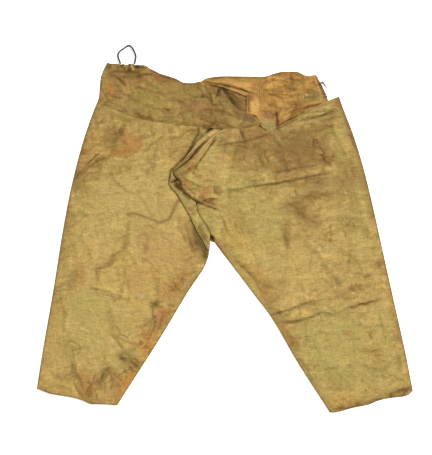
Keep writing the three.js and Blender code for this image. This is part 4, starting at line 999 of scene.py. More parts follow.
BACK_LINES = [
    (CREASE_SHADE, 0.65, 1.8, [(-36, 372), (-7, 370), (26, 361), (53, 352), (70, 347)]),
    (SHADOW, 0.45, 1.8, [(89, 383), (122, 394), (156, 400), (187, 390)]),
    (DARK_BROWN, 0.6, 2.2, [(132, 289), (156, 301), (185, 311), (216, 318), (242, 323)]),
    (PURPLE, 0.7, 3, [(226, 369), (233, 354), (240, 337)]),
    (INNER_BROWN, 0.5, 2, [(94, 359), (113, 352), (142, 349), (170, 354)]),
    (DARK_BROWN, 0.22, 1.2, [(83, 381), (83, 342), (84, 303)]),
    (INNER_LIGHT, 0.6, 1.8, [(180, 316), (209, 323), (245, 333)]),
    # Painted highlight along the ridge above the fold's dark line.
    (INNER_LIGHT, 0.55, 1.8, [(-31, 376), (2, 373), (36, 364), (74, 350)]),
    (CREASE_SHADE, 0.7, 1.6, [(-7, 367), (22, 361), (53, 350), (79, 342)]),
    (DARK_BROWN, 0.6, 1.6, [(98, 349), (122, 345), (149, 341), (175, 345)]),
    (DARK_BROWN, 0.55, 1.6, [(89, 369), (113, 376), (132, 378), (156, 373)]),
    (DARK_BROWN, 0.5, 1.6, [(130, 330), (134, 311), (127, 292)]),
    (DARK_BROWN, 0.5, 1.6, [(161, 335), (170, 321), (166, 304)]),
    (ORANGE, 0.6, 1.6, [(185, 328), (214, 322), (245, 321)]),
    (DARK_BROWN, 0.4, 1.4, [(86, 305), (98, 303), (113, 304)]),
    (SHADOW, 0.6, 2, [(-43, 381), (-5, 385), (48, 385), (89, 383)]),
    (SHADOW, 0.85, 2.8, [(124, 304), (126, 285), (127, 261)]),
    (SHADOW, 0.85, 2.2, [(55, 349), (56, 321), (56, 294)]),
    (SHADOW, 0.85, 2, [(-53, 374), (-26, 371), (-7, 367), (24, 359), (62, 348)]),
    (DARK_BROWN, 0.75, 3.4, [(218, 397), (228, 373), (235, 352), (247, 330)]),
    (ORANGE, 0.55, 1.6, [(170, 311), (199, 324), (223, 329), (245, 329)]),
    (DARK_BROWN, 0.5, 1.4, [(170, 335), (182, 343), (194, 340), (190, 333)]),
    (DARK_BROWN, 0.45, 1.4, [(151, 323), (175, 318), (199, 317), (233, 321)]),
    (CREASE_SHADE, 0.9, 3, [(115, 264), (142, 277), (170, 292), (192, 304)]),
    (CREASE_SHADE, 0.55, 1.4, [(146, 287), (170, 300), (199, 313), (233, 324)]),
]
GUSSET_LINES = [
    (CREASE_SHADE, 0.95, 2.2, [(-131, 159), (-122, 167), (-113, 176), (-98, 191), (-84, 208), (-70, 226),
                         (-58, 238), (-43, 250), (-34, 258)]),
    (STRIPE, 0.75, 1.4, [(-121, 162), (-108, 173), (-94, 187), (-82, 202), (-67, 220), (-53, 235),
                         (-36, 251)]),
    (BROWN, 0.55, 1.6, [(-70, 71), (-60, 52), (-48, 33), (-38, 13)]),
    (BROWN, 0.5, 2, [(-94, 73), (-84, 71), (-77, 61), (-79, 52)]),
    (CREASE_SHADE, 0.95, 2, [(-131, 160), (-132, 148), (-133, 133)]),
    (CREASE_SHADE, 0.95, 1.6, [(-126, 158), (-123, 151), (-118, 144)]),
    (STRIPE, 0.75, 1.4, [(-128, 155), (-128, 145), (-129, 137)]),
    (SHADOW, 0.98, 3, [(-132, 132), (-122, 134), (-115, 138), (-108, 141)]),
    (CREASE_SHADE, 0.8, 3, [(-122, 129), (-113, 121), (-106, 114)]),
    (CREASE_SHADE, 0.3, 1.4, [(-133, 131), (-125, 118), (-115, 102), (-106, 85), (-96, 70), (-86, 52)]),
    (CREASE_SHADE, 0.85, 3.2, [(-125, 143), (-111, 121), (-98, 105), (-82, 88)]),
    (SHADOW, 0.9, 3, [(-86, 47), (-77, 30), (-70, 16), (-62, 1)]),
    # Painted shadow: the gusset's lower tip darkened into the shade beside it.
    (DEEP_GREEN_SHADE, 0.85, 6, [(-62, -6), (-50, -23), (-38, -39)]),
    (BROWN, 0.45, 1.4, [(-62, 28), (-50, 4), (-41, -15)]),
]

# Threads: radius, path.
LOOSE_THREADS = [
    (1.2, [(227, 370), (232, 372), (235, 373), (239, 369), (242, 364), (245, 358)]),
    (1, [(229, 369), (234, 371), (239, 367), (243, 361), (243, 353)]),
    (0.7, [(226, 373), (232, 373), (236, 377), (239, 374)]),
    (0.6, [(230, 359), (234, 362), (232, 367), (228, 371)]),
    (0.45, [(240, 336), (244, 339), (247, 339)]),
    (0.35, [(221, 387), (225, 383), (224, 378)]),
    (0.35, [(-286, 420), (-288, 423), (-284, 424)]),
    (0.35, [(122, 263), (129, 259), (131, 253)]),
    (0.35, [(270, 339), (273, 342), (276, 341)]),
    (0.35, [(89, 259), (85, 255), (86, 250)]),
    (0.35, [(51, 343), (56, 341), (59, 337)]),
    (0.35, [(-257, -399), (-253, -402), (-254, -406)]),
    (0.35, [(254, -414), (252, -418), (249, -417)]),
]
TEAR = [
    (0.55, [(213, 233), (214, 226), (213, 221), (219, 217), (225, 218)]),
    (0.45, [(216, 237), (222, 235), (224, 229), (229, 227), (228, 220)]),
    (0.5, [(227, 218), (233, 215), (234, 208), (240, 204), (237, 199)]),
    (0.45, [(237, 199), (235, 192), (241, 188), (244, 182), (251, 181), (254, 175)]),
    (0.35, [(220, 228), (225, 225), (221, 221)]),
    (0.35, [(232, 200), (239, 196), (245, 192)]),
    (0.3, [(246, 188), (252, 189), (257, 183)]),
    (0.3, [(211, 229), (217, 231), (221, 226)]),
]


# ---- Relief and colour -------------------------------------------------------------------
def creased(x, y, creases, tint):
    """Height of the creases at each point.
    It also paints shade, unevenly, as a dark line on each crease's steep side.
    """
    height = np.zeros_like(x)
    x, y = strayed(x, y, CREASE_WAVER_SIZE, SEED["crease_waver"])
    uneven = 1 + CREASE_UNEVEN * noise(x, y, CREASE_UNEVEN_SIZE, SEED["crease_width"])
    mean, patchy, size = CREASE_SHADE_AND_DIRT
    shade_and_dirt = mean + patchy * noise(x, y, size, SEED["crease_shade_and_dirt"])
    for rise, left, right, dark, path in creases:
        away, side, share = along(x / MM, y / MM, path)
        ends = ends_faded(share, CREASE_FADE)
        width = np.where(side > 0, left, right)
        height += MM * rise * ends * uneven * np.exp(-(away / width) ** 2)
        narrow = min(left, right)
        foot = narrow * (CREASE_FOOT if left != right else 0)
        thin = np.maximum(CREASE_LINE * narrow * uneven, FINEST_LINE / MM)
        line = np.exp(-((away * side + foot) / thin) ** 2)
        blend(tint, CREASE_SHADE, dark * ends * line * shade_and_dirt)
    return height


def broad_folds(x, y, folds):
    height = np.zeros_like(x)
    for x1, y1, x2, y2, width, rise in folds:
        away, _, share = along(x, y, [(x1, y1), (x2, y2)])
        height += rise * ends_faded(share, FOLD_FADE) * np.exp(-(away / width) ** 2)
    return height


def crumple(x, y, seed, slant, tint, amount=1.0):
    """The silk's own unevenness: soft waves, small wrinkles, and a net of sharper ones.
    Painted shade darkens the troughs and the nets, and painted highlight pales the crests."""
    u, v = turned(x, y, slant)
    bend = sum(reach * noise(u, v, size, seed + 1 + k)
               for k, (reach, size) in enumerate((WEFT_BEND, WEFT_WOBBLE)))
    small = rough(RIPPLE_LENGTH * u, v + bend, RIPPLE_SIZE, seed + 3, 2)
    net = 1 - NET_STEEPNESS * np.abs(rough(u + bend, v - bend, NET_SIZE, seed + 7, 3))
    patch = smoothstep(noise(u, v, NET_PATCH, seed + 11), *NET_WHERE)
    sharp = np.clip(net, 0, 1) ** 1.5 * patch
    # Painted highlight on the crests, painted shade in the troughs and the nets.
    toned(tint, RUBBED_AND_LIT, RIPPLE_HIGHLIGHT * amount * np.clip(small, 0, 1))
    toned(tint, SOILED_AND_SHADED, RIPPLE_SHADE * amount * np.clip(-small, 0, 1))
    toned(tint, SOILED_AND_SHADED, NET_SHADE * amount * sharp)
    fine_net = 1 - FINE_NET_STEEPNESS * np.abs(rough(u - bend, v + bend, FINE_NET_SIZE, seed + 17, 2))
    fine_patch = smoothstep(noise(u, v, FINE_NET_PATCH, seed + 19), *FINE_NET_WHERE)
    fine_sharp = np.clip(fine_net, 0, 1) ** 2 * fine_patch
    toned(tint, SOILED_AND_SHADED, FINE_NET_SHADE * amount * fine_sharp)
    waves = WAVE_RISE * rough(u, v, WAVE_SIZE, seed + 13, 2)
    relief = RIPPLE_RISE * small - NET_DEPTH * sharp - FINE_NET_DEPTH * fine_sharp
    return waves + wrinkles(x, y, seed, slant, tint, amount) + amount * relief


def wrinkles(x, y, seed, slant, tint, amount):
    """Short wrinkles, most of them along the weft: ridges with painted highlight, troughs with painted
    shade.
    """
    draw = np.random.default_rng(seed)
    height = np.zeros_like(x)
    area = np.ptp(x) * np.ptp(y)
    reach, length, phase = WRINKLE_WAVER
    for _ in range(int(area * WRINKLES_IN_A_SQUARE_METRE)):
        cx = draw.uniform(x.min(), x.max())
        cy = draw.uniform(y.min(), y.max())
        upright = 90 if draw.random() < UPRIGHT_SHARE else 0
        a = math.radians(slant + upright + draw.normal(0, WRINKLE_TURN))
        half = draw.uniform(*WRINKLE_HALF_LENGTH)
        wide = draw.uniform(*WRINKLE_HALF_WIDTH)
        bend = draw.uniform(-WRINKLE_CURVE, WRINKLE_CURVE)
        rise = draw.choice([-1, 1]) * draw.uniform(*WRINKLE_SHARE)
        near = (np.abs(x - cx) < WRINKLE_BOX * half) & (np.abs(y - cy) < WRINKLE_BOX * half)
        if not near.any():
            continue
        dx, dy = x[near] - cx, y[near] - cy
        u = dx * math.cos(a) + dy * math.sin(a)
        v = dy * math.cos(a) - dx * math.sin(a) - bend * u * u
        v = v + reach * np.sin(u / length + cx * phase)
        shape = np.exp(-(u / half) ** 4 - (v / wide) ** 2)
        height[near] += amount * WRINKLE_RISE * rise * shape
        # Painted highlight on a ridge, painted shade in a trough.
        tone = (LIT_CRESTS if rise > 0 else SHADED_TROUGHS)[draw.integers(len(LIT_CRESTS))]
        part = tint[near]
        toned(part, tone, WRINKLE_SHADING * min(amount, 1) * abs(rise) * shape)
        tint[near] = part
    return height


def blend(tint, colour, amount):
    tint += (linear(colour) - tint) * np.clip(amount, 0, 1)[..., None]


def toned(tint, tone, amount):
    """Darkens or lightens the tint by a share of itself in each channel."""
    tint *= 1 + (np.array(tone) - 1) * np.clip(amount, 0, 1)[..., None]


def silk_tint(x, y, seed, slant=0, ground=LEG_GROUND):
    """Aged silk: an uneven ground with patches of other colours, and faint streaks."""
    base, patches = ground
    tint = np.ones(x.shape + (3,)) * linear(base)
    u, v = turned(x, y, slant)
    for k, (colour, strength, size, low, high) in enumerate(patches):
        blend(tint, colour, strength * smoothstep(rough(x, y, size, seed + 2 * k, 4), low, high))
    strength, width = WEFT_STREAK
    weft = noise(u / STREAK_LENGTH, v, width, seed + 31)
    toned(tint, SOILED_AND_SHADED, strength * smoothstep(weft, *STREAK_RANGE))
    strength, width = WARP_STREAK
    warp = noise(u, v / STREAK_LENGTH, width, seed + 33)
    toned(tint, RUBBED_AND_LIT, strength * smoothstep(warp, *STREAK_RANGE))
    return tint


def marked(x, y, tint, blots, lines):
    """Stains with ragged edges, then dirty lines, tide marks and pale threads.
    Some blots and lines are painted shade: shadows, and dark lines along creases, folds and edges.
    """
    ragged = rough(x, y, RAGGED_SIZE, SEED["ragged"], 3)
    wavy_x, wavy_y = strayed(x, y, LINE_WAVER_SIZE, SEED["line_waver"])
    mean, patchy = LINE_STRENGTH
    broken = mean + patchy * ragged
    for (cx, cy), a, b, degrees, colour, strength in blots:
        u, v = turned(x / MM - cx, y / MM - cy, degrees)
        away = np.hypot(u / a, v / b) + BLOT_RAGGED * ragged
        blend(tint, colour, strength * (1 - smoothstep(away, *BLOT_EDGE)))
    for colour, strength, width, path in lines:
        away, _, share = along(wavy_x / MM, wavy_y / MM, path)
        spread = away / (max(width, FINEST_LINE / MM) * (1 + LINE_RAGGED * ragged))
        ends = lerp(LINE_END, 1, ends_faded(share, LINE_FADE))
        blend(tint, colour, strength * broken * ends * np.exp(-spread ** 2))
    return tint


# ---- Meshes ------------------------------------------------------------------------------
def grid_faces(rows, columns, open_columns=None, closed_from=None, flip=False):
    """Quads of a grid. From row `closed_from` on, the last columns close it into a tube."""
    open_columns = open_columns or columns
    closed_from = rows if closed_from is None else closed_from
    faces = []
    for r in range(rows - 1):
        last = columns if r >= closed_from else open_columns - 1
        c = np.arange(last)
        n = (c + 1) % columns
        quad = np.stack([r * columns + c, r * columns + n,
                         (r + 1) * columns + n, (r + 1) * columns + c], axis=1)
        faces.append(quad[:, ::-1] if flip else quad)
    return np.concatenate(faces)


def new_object(name, points, faces):
    mesh = bpy.data.meshes.new(name)
    mesh.from_pydata(np.asarray(points).tolist(), [], [[int(i) for i in face] for face in faces])
    mesh.update()
    mesh.shade_smooth()
    made = bpy.data.objects.new(name, mesh)
    bpy.context.scene.collection.objects.link(made)
    return made


def add_tint(made, name, tint):
    values = np.ones((len(tint), 4), np.float32)
    values[:, :3] = tint * UNLIT
    layer = made.data.attributes.new(name, "FLOAT_COLOR", "POINT")
    layer.data.foreach_set("color", values.ravel())


def bake(made):
    """Puts the result of an object's modifiers in its mesh."""
    graph = bpy.context.evaluated_depsgraph_get()
    mesh = bpy.data.meshes.new_from_object(made.evaluated_get(graph))
    made.modifiers.clear()
    old, made.data = made.data, mesh
    mesh.name = made.name
    bpy.data.meshes.remove(old)


def cloth(name, points, faces, tint, inner_tint, materials):
    """A closed shell of silk, WALL thick, from the middle surface of a sheet."""
    points, tint, inner_tint = (rows.reshape(-1, 3) for rows in (points, tint, inner_tint))
    used, packed = np.unique(faces, return_inverse=True)
    made = new_object(name, points[used], packed.reshape(faces.shape))
    add_tint(made, "cloth_tint", tint[used])
    add_tint(made, "inner_tint", inner_tint[used])
    for material in materials:
        made.data.materials.append(material)
    solid = made.modifiers.new("wall", "SOLIDIFY")
    solid.thickness = WALL
    solid.offset = 0
    solid.material_offset = 1
    bake(made)
    made.data.set_sharp_from_angle(angle=SHARP_RIM)
    return made


def dress(made, solid):
    """Puts a piece in the place of its solid."""
    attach(made, "root")
    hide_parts(solid)


def ring(fold, out, top, base, angles):
    """Points round a folded edge, from height `top` to height `base`."""
    sine, cosine = np.sin(angles), np.cos(angles)
    x = fold[:, :1] + out[:, :1] * FOLD_REACH * sine
    y = fold[:, 1:] + out[:, 1:] * FOLD_REACH * sine
    z = ((top + base) / 2)[:, None] + ((top - base) / 2)[:, None] * cosine
    return np.stack([x, y, z], axis=2)


def folded(front, back):
    """Rows of cloth folded round an outer edge: front, fold, back and the way round again."""
    out = front[:, -1, :2] - front[:, 0, :2]
    out /= np.hypot(*out.T)[:, None]
    fold = ring(front[:, -1, :2], out, front[:, -1, 2], back[:, 0, 2], FOLD_ANGLES)
    close = ring(back[:, -1, :2], -out, front[:, 0, 2], back[:, -1, 2], FOLD_ANGLES)
    return np.concatenate([front, fold, back, close[:, ::-1]], axis=1)


# ---- Materials ---------------------------------------------------------------------------
SILK_ROUGHNESS = 0.68
SHEEN = 0.025
SHEEN_ROUGHNESS = 0.45
SILK_SPECULAR = 0.09
WEFT_SLUBS = (70, 380, 70)  # scale of the noise along and across the threads
WARP_SLUBS = (380, 90, 70)
WARP_SHARE = 0.4
MOTTLE_SCALE = 260
MOTTLE_ROUGHNESS = 0.7
MOTTLE_SHARE = 0.35
SPECKS_FROM = (0.3, 0.7)
SPECKS_TO = (0.62, 1.38)  # how much darker or lighter a speck is
CRUSHED_SCALE = 150
CRUSHED_ROUGHNESS = 0.6
CRUSHED_DEPTH = 0.0009
WEAVE_STRENGTH = 0.6
WEAVE_DEPTH = 0.0005
FIBRE_SCALE = 250
FIBRE_ROUGHNESS = 0.8
FIBRE_BUMP = 0.4
FIBRE_DEPTH = 0.0004


class Nodes:
    """Short calls for building a node tree."""

    def __init__(self, name):
        self.material = bpy.data.materials.new(name)
        self.material.use_nodes = True
        self.tree = self.material.node_tree
        self.shader = self.tree.nodes["Principled BSDF"]

    def add(self, kind, inputs=(), **settings):
        node = self.tree.nodes.new("ShaderNode" + kind)
        for key, value in settings.items():
            setattr(node, key, value)
        for key, value in dict(inputs).items():
            self.put(node.inputs[key], value)
        return node

    def put(self, socket, value):
        if isinstance(value, bpy.types.NodeSocket):
            self.tree.links.new(value, socket)
        else:
            socket.default_value = value


def silk_material(name, attribute, slant):
    """Old tabby-woven silk, coloured by an attribute of its points."""
    n = Nodes(name)
    colour = n.add("Attribute", attribute_name=attribute).outputs["Color"]
    place = n.add("TexCoord").outputs["Object"]
    along_weft = n.add("Mapping", {"Vector": place, "Rotation": (0, 0, math.radians(slant))})
    along_weft = along_weft.outputs["Vector"]

    def grain(scale, detail, roughness, vector=place):
        node = n.add("TexNoise", {"Vector": vector, "Scale": scale, "Detail": detail,
                                  "Roughness": roughness})
        return node.outputs["Fac"]

    def stretched(scale):
        vector = n.add("Mapping", {"Vector": along_weft, "Scale": scale}).outputs["Vector"]
        return grain(1, 2, 0.5, vector)

    def mix(a, b, share):
        return n.add("Mix", {"Factor": share, "A": a, "B": b}).outputs["Result"]

    slubs = mix(stretched(WEFT_SLUBS), stretched(WARP_SLUBS), WARP_SHARE)
    specks = mix(slubs, grain(MOTTLE_SCALE, 4, MOTTLE_ROUGHNESS), MOTTLE_SHARE)
    shade = n.add("MapRange", {"Value": specks, "From Min": SPECKS_FROM[0],
                               "From Max": SPECKS_FROM[1], "To Min": SPECKS_TO[0],
                               "To Max": SPECKS_TO[1]}).outputs["Result"]
    tone = n.add("VectorMath", {0: colour, "Scale": shade}, operation="SCALE").outputs["Vector"]
    n.put(n.shader.inputs["Base Color"], tone)
    n.put(n.shader.inputs["Roughness"], SILK_ROUGHNESS)
    n.put(n.shader.inputs["Sheen Weight"], SHEEN)
    n.put(n.shader.inputs["Sheen Roughness"], SHEEN_ROUGHNESS)
    n.put(n.shader.inputs["Specular IOR Level"], SILK_SPECULAR)
    crushed = n.add("Bump", {"Height": grain(CRUSHED_SCALE, 3, CRUSHED_ROUGHNESS),
                             "Strength": 1.0, "Distance": CRUSHED_DEPTH}).outputs["Normal"]
    weave = n.add("Bump", {"Height": slubs, "Strength": WEAVE_STRENGTH, "Distance": WEAVE_DEPTH,
                           "Normal": crushed}).outputs["Normal"]
    n.put(n.shader.inputs["Normal"], weave)
    return n.material


def thread_material(name, dark, light):
    """Twisted silk, mottled between two colours."""
    n = Nodes(name)
    place = n.add("TexCoord").outputs["Object"]
    cloud = n.add("TexNoise", {"Vector": place, "Scale": FIBRE_SCALE, "Detail": 3}).outputs["Fac"]
    ramp = n.add("ValToRGB", {"Fac": cloud})
    ramp.color_ramp.elements[0].color = (*linear(dark), 1)
    ramp.color_ramp.elements[1].color = (*linear(light), 1)
    n.put(n.shader.inputs["Base Color"], ramp.outputs["Color"])
    n.put(n.shader.inputs["Roughness"], FIBRE_ROUGHNESS)
    bump = n.add("Bump", {"Height": cloud, "Strength": FIBRE_BUMP, "Distance": FIBRE_DEPTH})
    n.put(n.shader.inputs["Normal"], bump.outputs["Normal"])
    return n.material


# ---- Camera ------------------------------------------------------------------------------
LENS = 85  # in millimetres, as the sensor
SENSOR = 36
CAMERA_AT = (-0.0216, 0.0242, 2.582)


def add_camera():
    """Straight above, framed so that a step of 2.4 mm is one step of the picture."""
    data = bpy.data.cameras.new("camera")
    data.lens = LENS
    data.sensor_width = SENSOR
    camera = bpy.data.objects.new("camera", data)
    camera.location = CAMERA_AT
    bpy.context.scene.collection.objects.link(camera)
    bpy.context.scene.camera = camera


# ---- Drawstring --------------------------------------------------------------------------
def smooth_route(route, steps):
    """A Catmull-Rom curve through a route, with `steps` points for each stretch."""
    p = np.array([route[0], *route, route[-1]], float)
    points = []
    for a, b, c, d in zip(p[:-3], p[1:-2], p[2:-1], p[3:]):
        for t in np.arange(steps) / steps:
            points.append(0.5 * (2 * b + (c - a) * t + (2 * a - 5 * b + 4 * c - d) * t ** 2
                                 + (3 * b - a - 3 * c + d) * t ** 3))
    points.append(p[-1])
    return np.array(points)


UPRIGHT_LIMIT = 0.2  # a tube steeper than this takes its sides from the X axis


def tube(points, radii, sides):
    """Vertices and faces of a closed tube along points, with a radius at each."""
    ahead = np.gradient(points, axis=0)
    ahead /= np.linalg.norm(ahead, axis=1)[:, None]
    up = np.array([0, 0, 1.0])
    aside = np.cross(ahead, up)
    length = np.linalg.norm(aside, axis=1)
    aside = np.where(length[:, None] > UPRIGHT_LIMIT, aside, (1, 0, 0))
    aside /= np.linalg.norm(aside, axis=1)[:, None]
    above = np.cross(aside, ahead)
    a = 2 * np.pi * np.arange(sides) / sides
    spoke = aside[:, None] * np.cos(a)[:, None] + above[:, None] * np.sin(a)[:, None]
    rings = points[:, None] + radii[:, :, None] * spoke
    count = len(points)
    ends = [list(range(sides)), list(range(count * sides - 1, (count - 1) * sides - 1, -1))]
    return rings.reshape(-1, 3), [*grid_faces(count, sides, closed_from=0), *ends]


def add_drawstring(material):
    route = [(x, y, CORD_Z) for x, y in CORD_ROUTE]
    points = smooth_route(route, CORD_STEPS)
    run = np.r_[0, np.cumsum(np.linalg.norm(np.diff(points, axis=0), axis=1))]
    a = 2 * np.pi * np.arange(CORD_SIDES) / CORD_SIDES
    strands = np.abs(np.cos(a[None] - run[:, None] * TWIST))
    twist = strands * TWIST_DEPTH + (1 - TWIST_DEPTH / 2)
    lumps = 1 + LUMPS * noise(run, 0 * run, LUMP_SIZE, SEED["cord"])
    radii = np.minimum(CORD_DIAMETER / 2 * twist * lumps[:, None], CORD_DIAMETER / 2)
    made = new_object("drawstring", *tube(points, radii, CORD_SIDES))
    made.data.materials.append(material)
    dress(made, "drawstring_loop")


# ---- Legs --------------------------------------------------------------------------------
LEFT_WEFT = 14  # direction of most wrinkles, in degrees
RIGHT_WEFT = 4
LEG_SLANT = 8  # how far the left leg's threads are turned; the right leg's are turned back
FRONT_STEPS = 156
BACK_STEPS = 22
TOP_REACH = 0.3  # rows follow the top edge down to this share of the leg
HEM_FROM = 0.8  # and the hem from this share on
CLOSED_ABOVE = 0.001  # the tube starts this far above the crotch
LEFT_SPREAD = 1.1  # above 1, columns are closer together at the inner edge
RIGHT_SPREAD = 1.35
# Stations down a leg: y at the inner edge, at the outer edge and at the back's seam, and the
# number of rows down to the next.
LEFT_STATIONS = [(WAIST_Y, 0.3275, 0.262, 108), (LEFT_CROTCH_Y, 0.060, LEFT_CROTCH_Y, 146),
                 (-0.403, -0.363, -0.403)]
RIGHT_STATIONS = [(WAIST_Y, 0.339, 0.262, 44), (0.159, 0.254, 0.172, 14),
                  (0.135, 0.232, 0.150, 28), (0.085, 0.158, 0.092, 36),
                  (RIGHT_CROTCH_Y, 0.066, RIGHT_CROTCH_Y, 130), (-0.419, -0.368, -0.419)]
FOLD_SINK = 0.0012
SINK_REACH = 0.022
WAIST_CLEAR = 0.012  # relief comes back over this far below the waistband
CREASE_CLEAR = 0.03  # share of a wall's width over which creases die out
GUSSET_CLEAR = (0.002, 0.018)  # the left leg lies flat up to here from the gusset's fold
UNDER_GUSSET_Y = (-0.090, -0.040)  # and from here up
CREASE_UNDER_GUSSET = 0.3
GUSSET_START = 0.003
GUSSET_LIFT_Y = (-0.016, 0.005)  # the right front climbs on the gusset between these
RIM = 0.0035  # width of the right front's rounded edge
RIM_DROP = 0.0009
SEWN_DROP = 0.0010  # how much lower that edge is where it is sewn down
SEWN_UP_TO_Y = (0.075, 0.095)
CREASE_RIM = 0.003
INSEAM_Y = (-0.004, 0.004)  # beside the gusset, from here up, the inner edge is less worn and less shaded
GUSSET_SEWN_Y = 0.085
GUSSET_SEWN_FADE = 0.008
gusset_fold = curve(GUSSET_FOLD)
gusset_open = curve(GUSSET_OPEN)


def dipped(x, y, height):
    """A leg's relief, let down where its top edge goes under the waistband."""
    clear = smoothstep(waist_seam(x) - y, SEAM_OVERLAP, SEAM_OVERLAP + WAIST_CLEAR)
    return lerp(-SEAM_DIP, height, np.where(x < BAND_END[1][1], clear, 1))


def above_back(height):
    """The front wall never sinks into the back one."""
    return np.maximum(height, ON_TABLE + WALL + CLEARANCE)


def settle(x, y):
    """How far the doubled gusset, and what lies on it, sinks towards the gusset's fold."""
    return FOLD_SINK * (1 - smoothstep(x - gusset_fold(y), 0, SINK_REACH))


def left_front(x, y, share, tint):
    """Heights of the left leg's front, which lies flat under the gusset."""
    clear = smoothstep(gusset_fold(y) - x, *GUSSET_CLEAR)
    loose = lerp(1, clear, smoothstep(y, *UNDER_GUSSET_Y))
    relief = PUFF + broad_folds(x, y, LEFT_FOLDS)
    relief = relief + crumple(x, y, SEED["left_relief"], LEFT_WEFT, tint)
    fine = creased(x, y, LEFT_CREASES, tint) * lerp(CREASE_UNDER_GUSSET, 1, loose)
    height = ends_faded(share, EDGE_SHARE) * loose * relief + fine * ends_faded(share, CREASE_CLEAR)
    return above_back(LAYER + ON_LAYER + dipped(x, y, height))


def right_front(x, y, share, tint):
    """Heights of the right leg's front, which lies on the gusset with a rounded edge."""
    on_gusset = 1 - smoothstep(x, gusset_open(y) + GUSSET_START, gusset_open(y) + GUSSET_RAMP)
    on_gusset = on_gusset * smoothstep(y, *GUSSET_LIFT_Y)
    rim = np.clip((x - x[:, :1]) / RIM, 0, 1)
    sewn = SEWN_DROP * (1 - smoothstep(y, *SEWN_UP_TO_Y))
    rounded = (RIM_DROP + sewn) * (1 - np.sqrt(1 - (1 - rim) ** 2))
    stack = (3 * LAYER - settle(x, y) - rounded) * on_gusset
    relief = PUFF + broad_folds(x, y, RIGHT_FOLDS)
    relief = relief + crumple(x, y, SEED["right_relief"], RIGHT_WEFT, tint)
    fine = creased(x, y, RIGHT_CREASES, tint) * smoothstep(x - x[:, :1], 0, CREASE_RIM)
    fine = fine * smoothstep(1 - share, 0, CREASE_CLEAR)
    return above_back(LAYER + ON_LAYER + stack + ends_faded(share, EDGE_SHARE) * relief + fine)


def leg(name, spec, materials):
    """A leg of silk folded round its outer edge, and a tube below the crotch."""
    inner_x, outer_x, back_x = (curve(spec[key]) for key in ("inner", "outer", "back"))
    top, back_top, hem = (curve(spec[key]) for key in ("top", "back_top", "hem"))
    side = np.sign(outer_x(0.0))
    stations = spec["stations"]
    rows = [lerp(np.array(a[:3]), np.array(b[:3]), i / a[3])
            for a, b in zip(stations[:-1], stations[1:]) for i in range(a[3])]
    inner_y, outer_y, back_y = np.array([*rows, np.array(stations[-1][:3])]).T
    closed = back_y < spec["closed_at"]
    down = np.linspace(0, 1, len(inner_y))[:, None]
    fold = np.stack([outer_x(outer_y) - side * FOLD_REACH, outer_y], axis=1)
    inset = np.where(closed, side * FOLD_REACH, 0)

    def wall(free_x, free_y, share, top_edge):
        free = np.stack([free_x + inset, free_y], axis=1)
        x = lerp(free[:, :1], fold[:, :1], share)
        y = lerp(free[:, 1:], fold[:, 1:], share)
        y = y + (top_edge(x[0]) - y[0]) * (1 - smoothstep(down, 0, TOP_REACH))
        return x, y + (hem(x[-1]) - y[-1]) * smoothstep(down, HEM_FROM, 1)

    front_share = (np.arange(FRONT_STEPS + 1) / FRONT_STEPS) ** spec["spread"]
    back_share = np.arange(BACK_STEPS, -1, -1) / BACK_STEPS
    x, y = wall(inner_x(inner_y), inner_y, front_share, top)
    share = np.broadcast_to(front_share, x.shape)
    tint = silk_tint(x, y, spec["seed"], spec["slant"])
    z = spec["height"](x, y, share, tint)
    marked(x, y, tint, spec["blots"], spec["lines"])
    worn_and_shaded_edges(x, y, share, tint)
    front = np.stack([x, y, z], axis=2)
    free_x = np.where(closed, inner_x(back_y), back_x(back_y))
    bx, by = wall(free_x, back_y, back_share, back_top)
    back = np.stack([bx, by, np.full_like(bx, ON_TABLE)], axis=2)

    points = folded(front, back)
    count, columns = points.shape[:2]
    px, py = points[..., 0], points[..., 1]
    tints = silk_tint(px, py, spec["seed"] + BACK_SEED, spec["slant"])
    tints[:, :FRONT_STEPS + 1] = tint
    # Painted shade round the folded edge.
    blend(tints, DARK_BROWN, EDGE_SHADE * ring_columns(columns, FRONT_STEPS + 1)[None])
    inside = silk_tint(px, py, spec["seed"] + INSIDE_SEED, 0, INNER_GROUND)
    open_columns = columns - len(FOLD_ANGLES)
    faces = grid_faces(count, columns, open_columns, int(np.argmax(closed)), flip=side > 0)
    made = cloth(name + "_silk", points, faces, tints, inside, materials)
    dress(made, name)
    return made


def ring_columns(columns, first):
    """1 for the columns of points round a folded edge, 0 for the others."""
    at = np.arange(columns)
    return ((at >= first) & (at < first + len(FOLD_ANGLES))).astype(float)


def worn_and_shaded_edges(x, y, share, tint):
    """Folded edges and hems are browner, unevenly, with a thin dark line of painted shade at the very
    edge.
    """
    mean, patchy, size = EDGE_WEAR_AND_SHADE
    uneven = mean + patchy * rough(x, y, size, SEED["edge_wear_and_shade"], 3)
    beside_gusset = smoothstep(y, *INSEAM_Y) * smoothstep(GUSSET_SEWN_Y - y, 0, GUSSET_SEWN_FADE)
    edge = np.minimum(share + beside_gusset, 1 - share)
    above_hem = y - y[-1]
    for away, (soft, soft_reach), soft_colour, (hard, hard_reach) in (
            (edge, SIDE_BROWN, BROWN, SIDE_SHADE), (above_hem, HEM_RED, RED_BROWN, HEM_SHADE)):
        blend(tint, soft_colour, soft * np.exp(-away / soft_reach) * uneven)
        # Painted shade: the thin dark line at the very edge.
        blend(tint, DARK_BROWN, hard * np.exp(-(away / hard_reach) ** 2) * uneven)


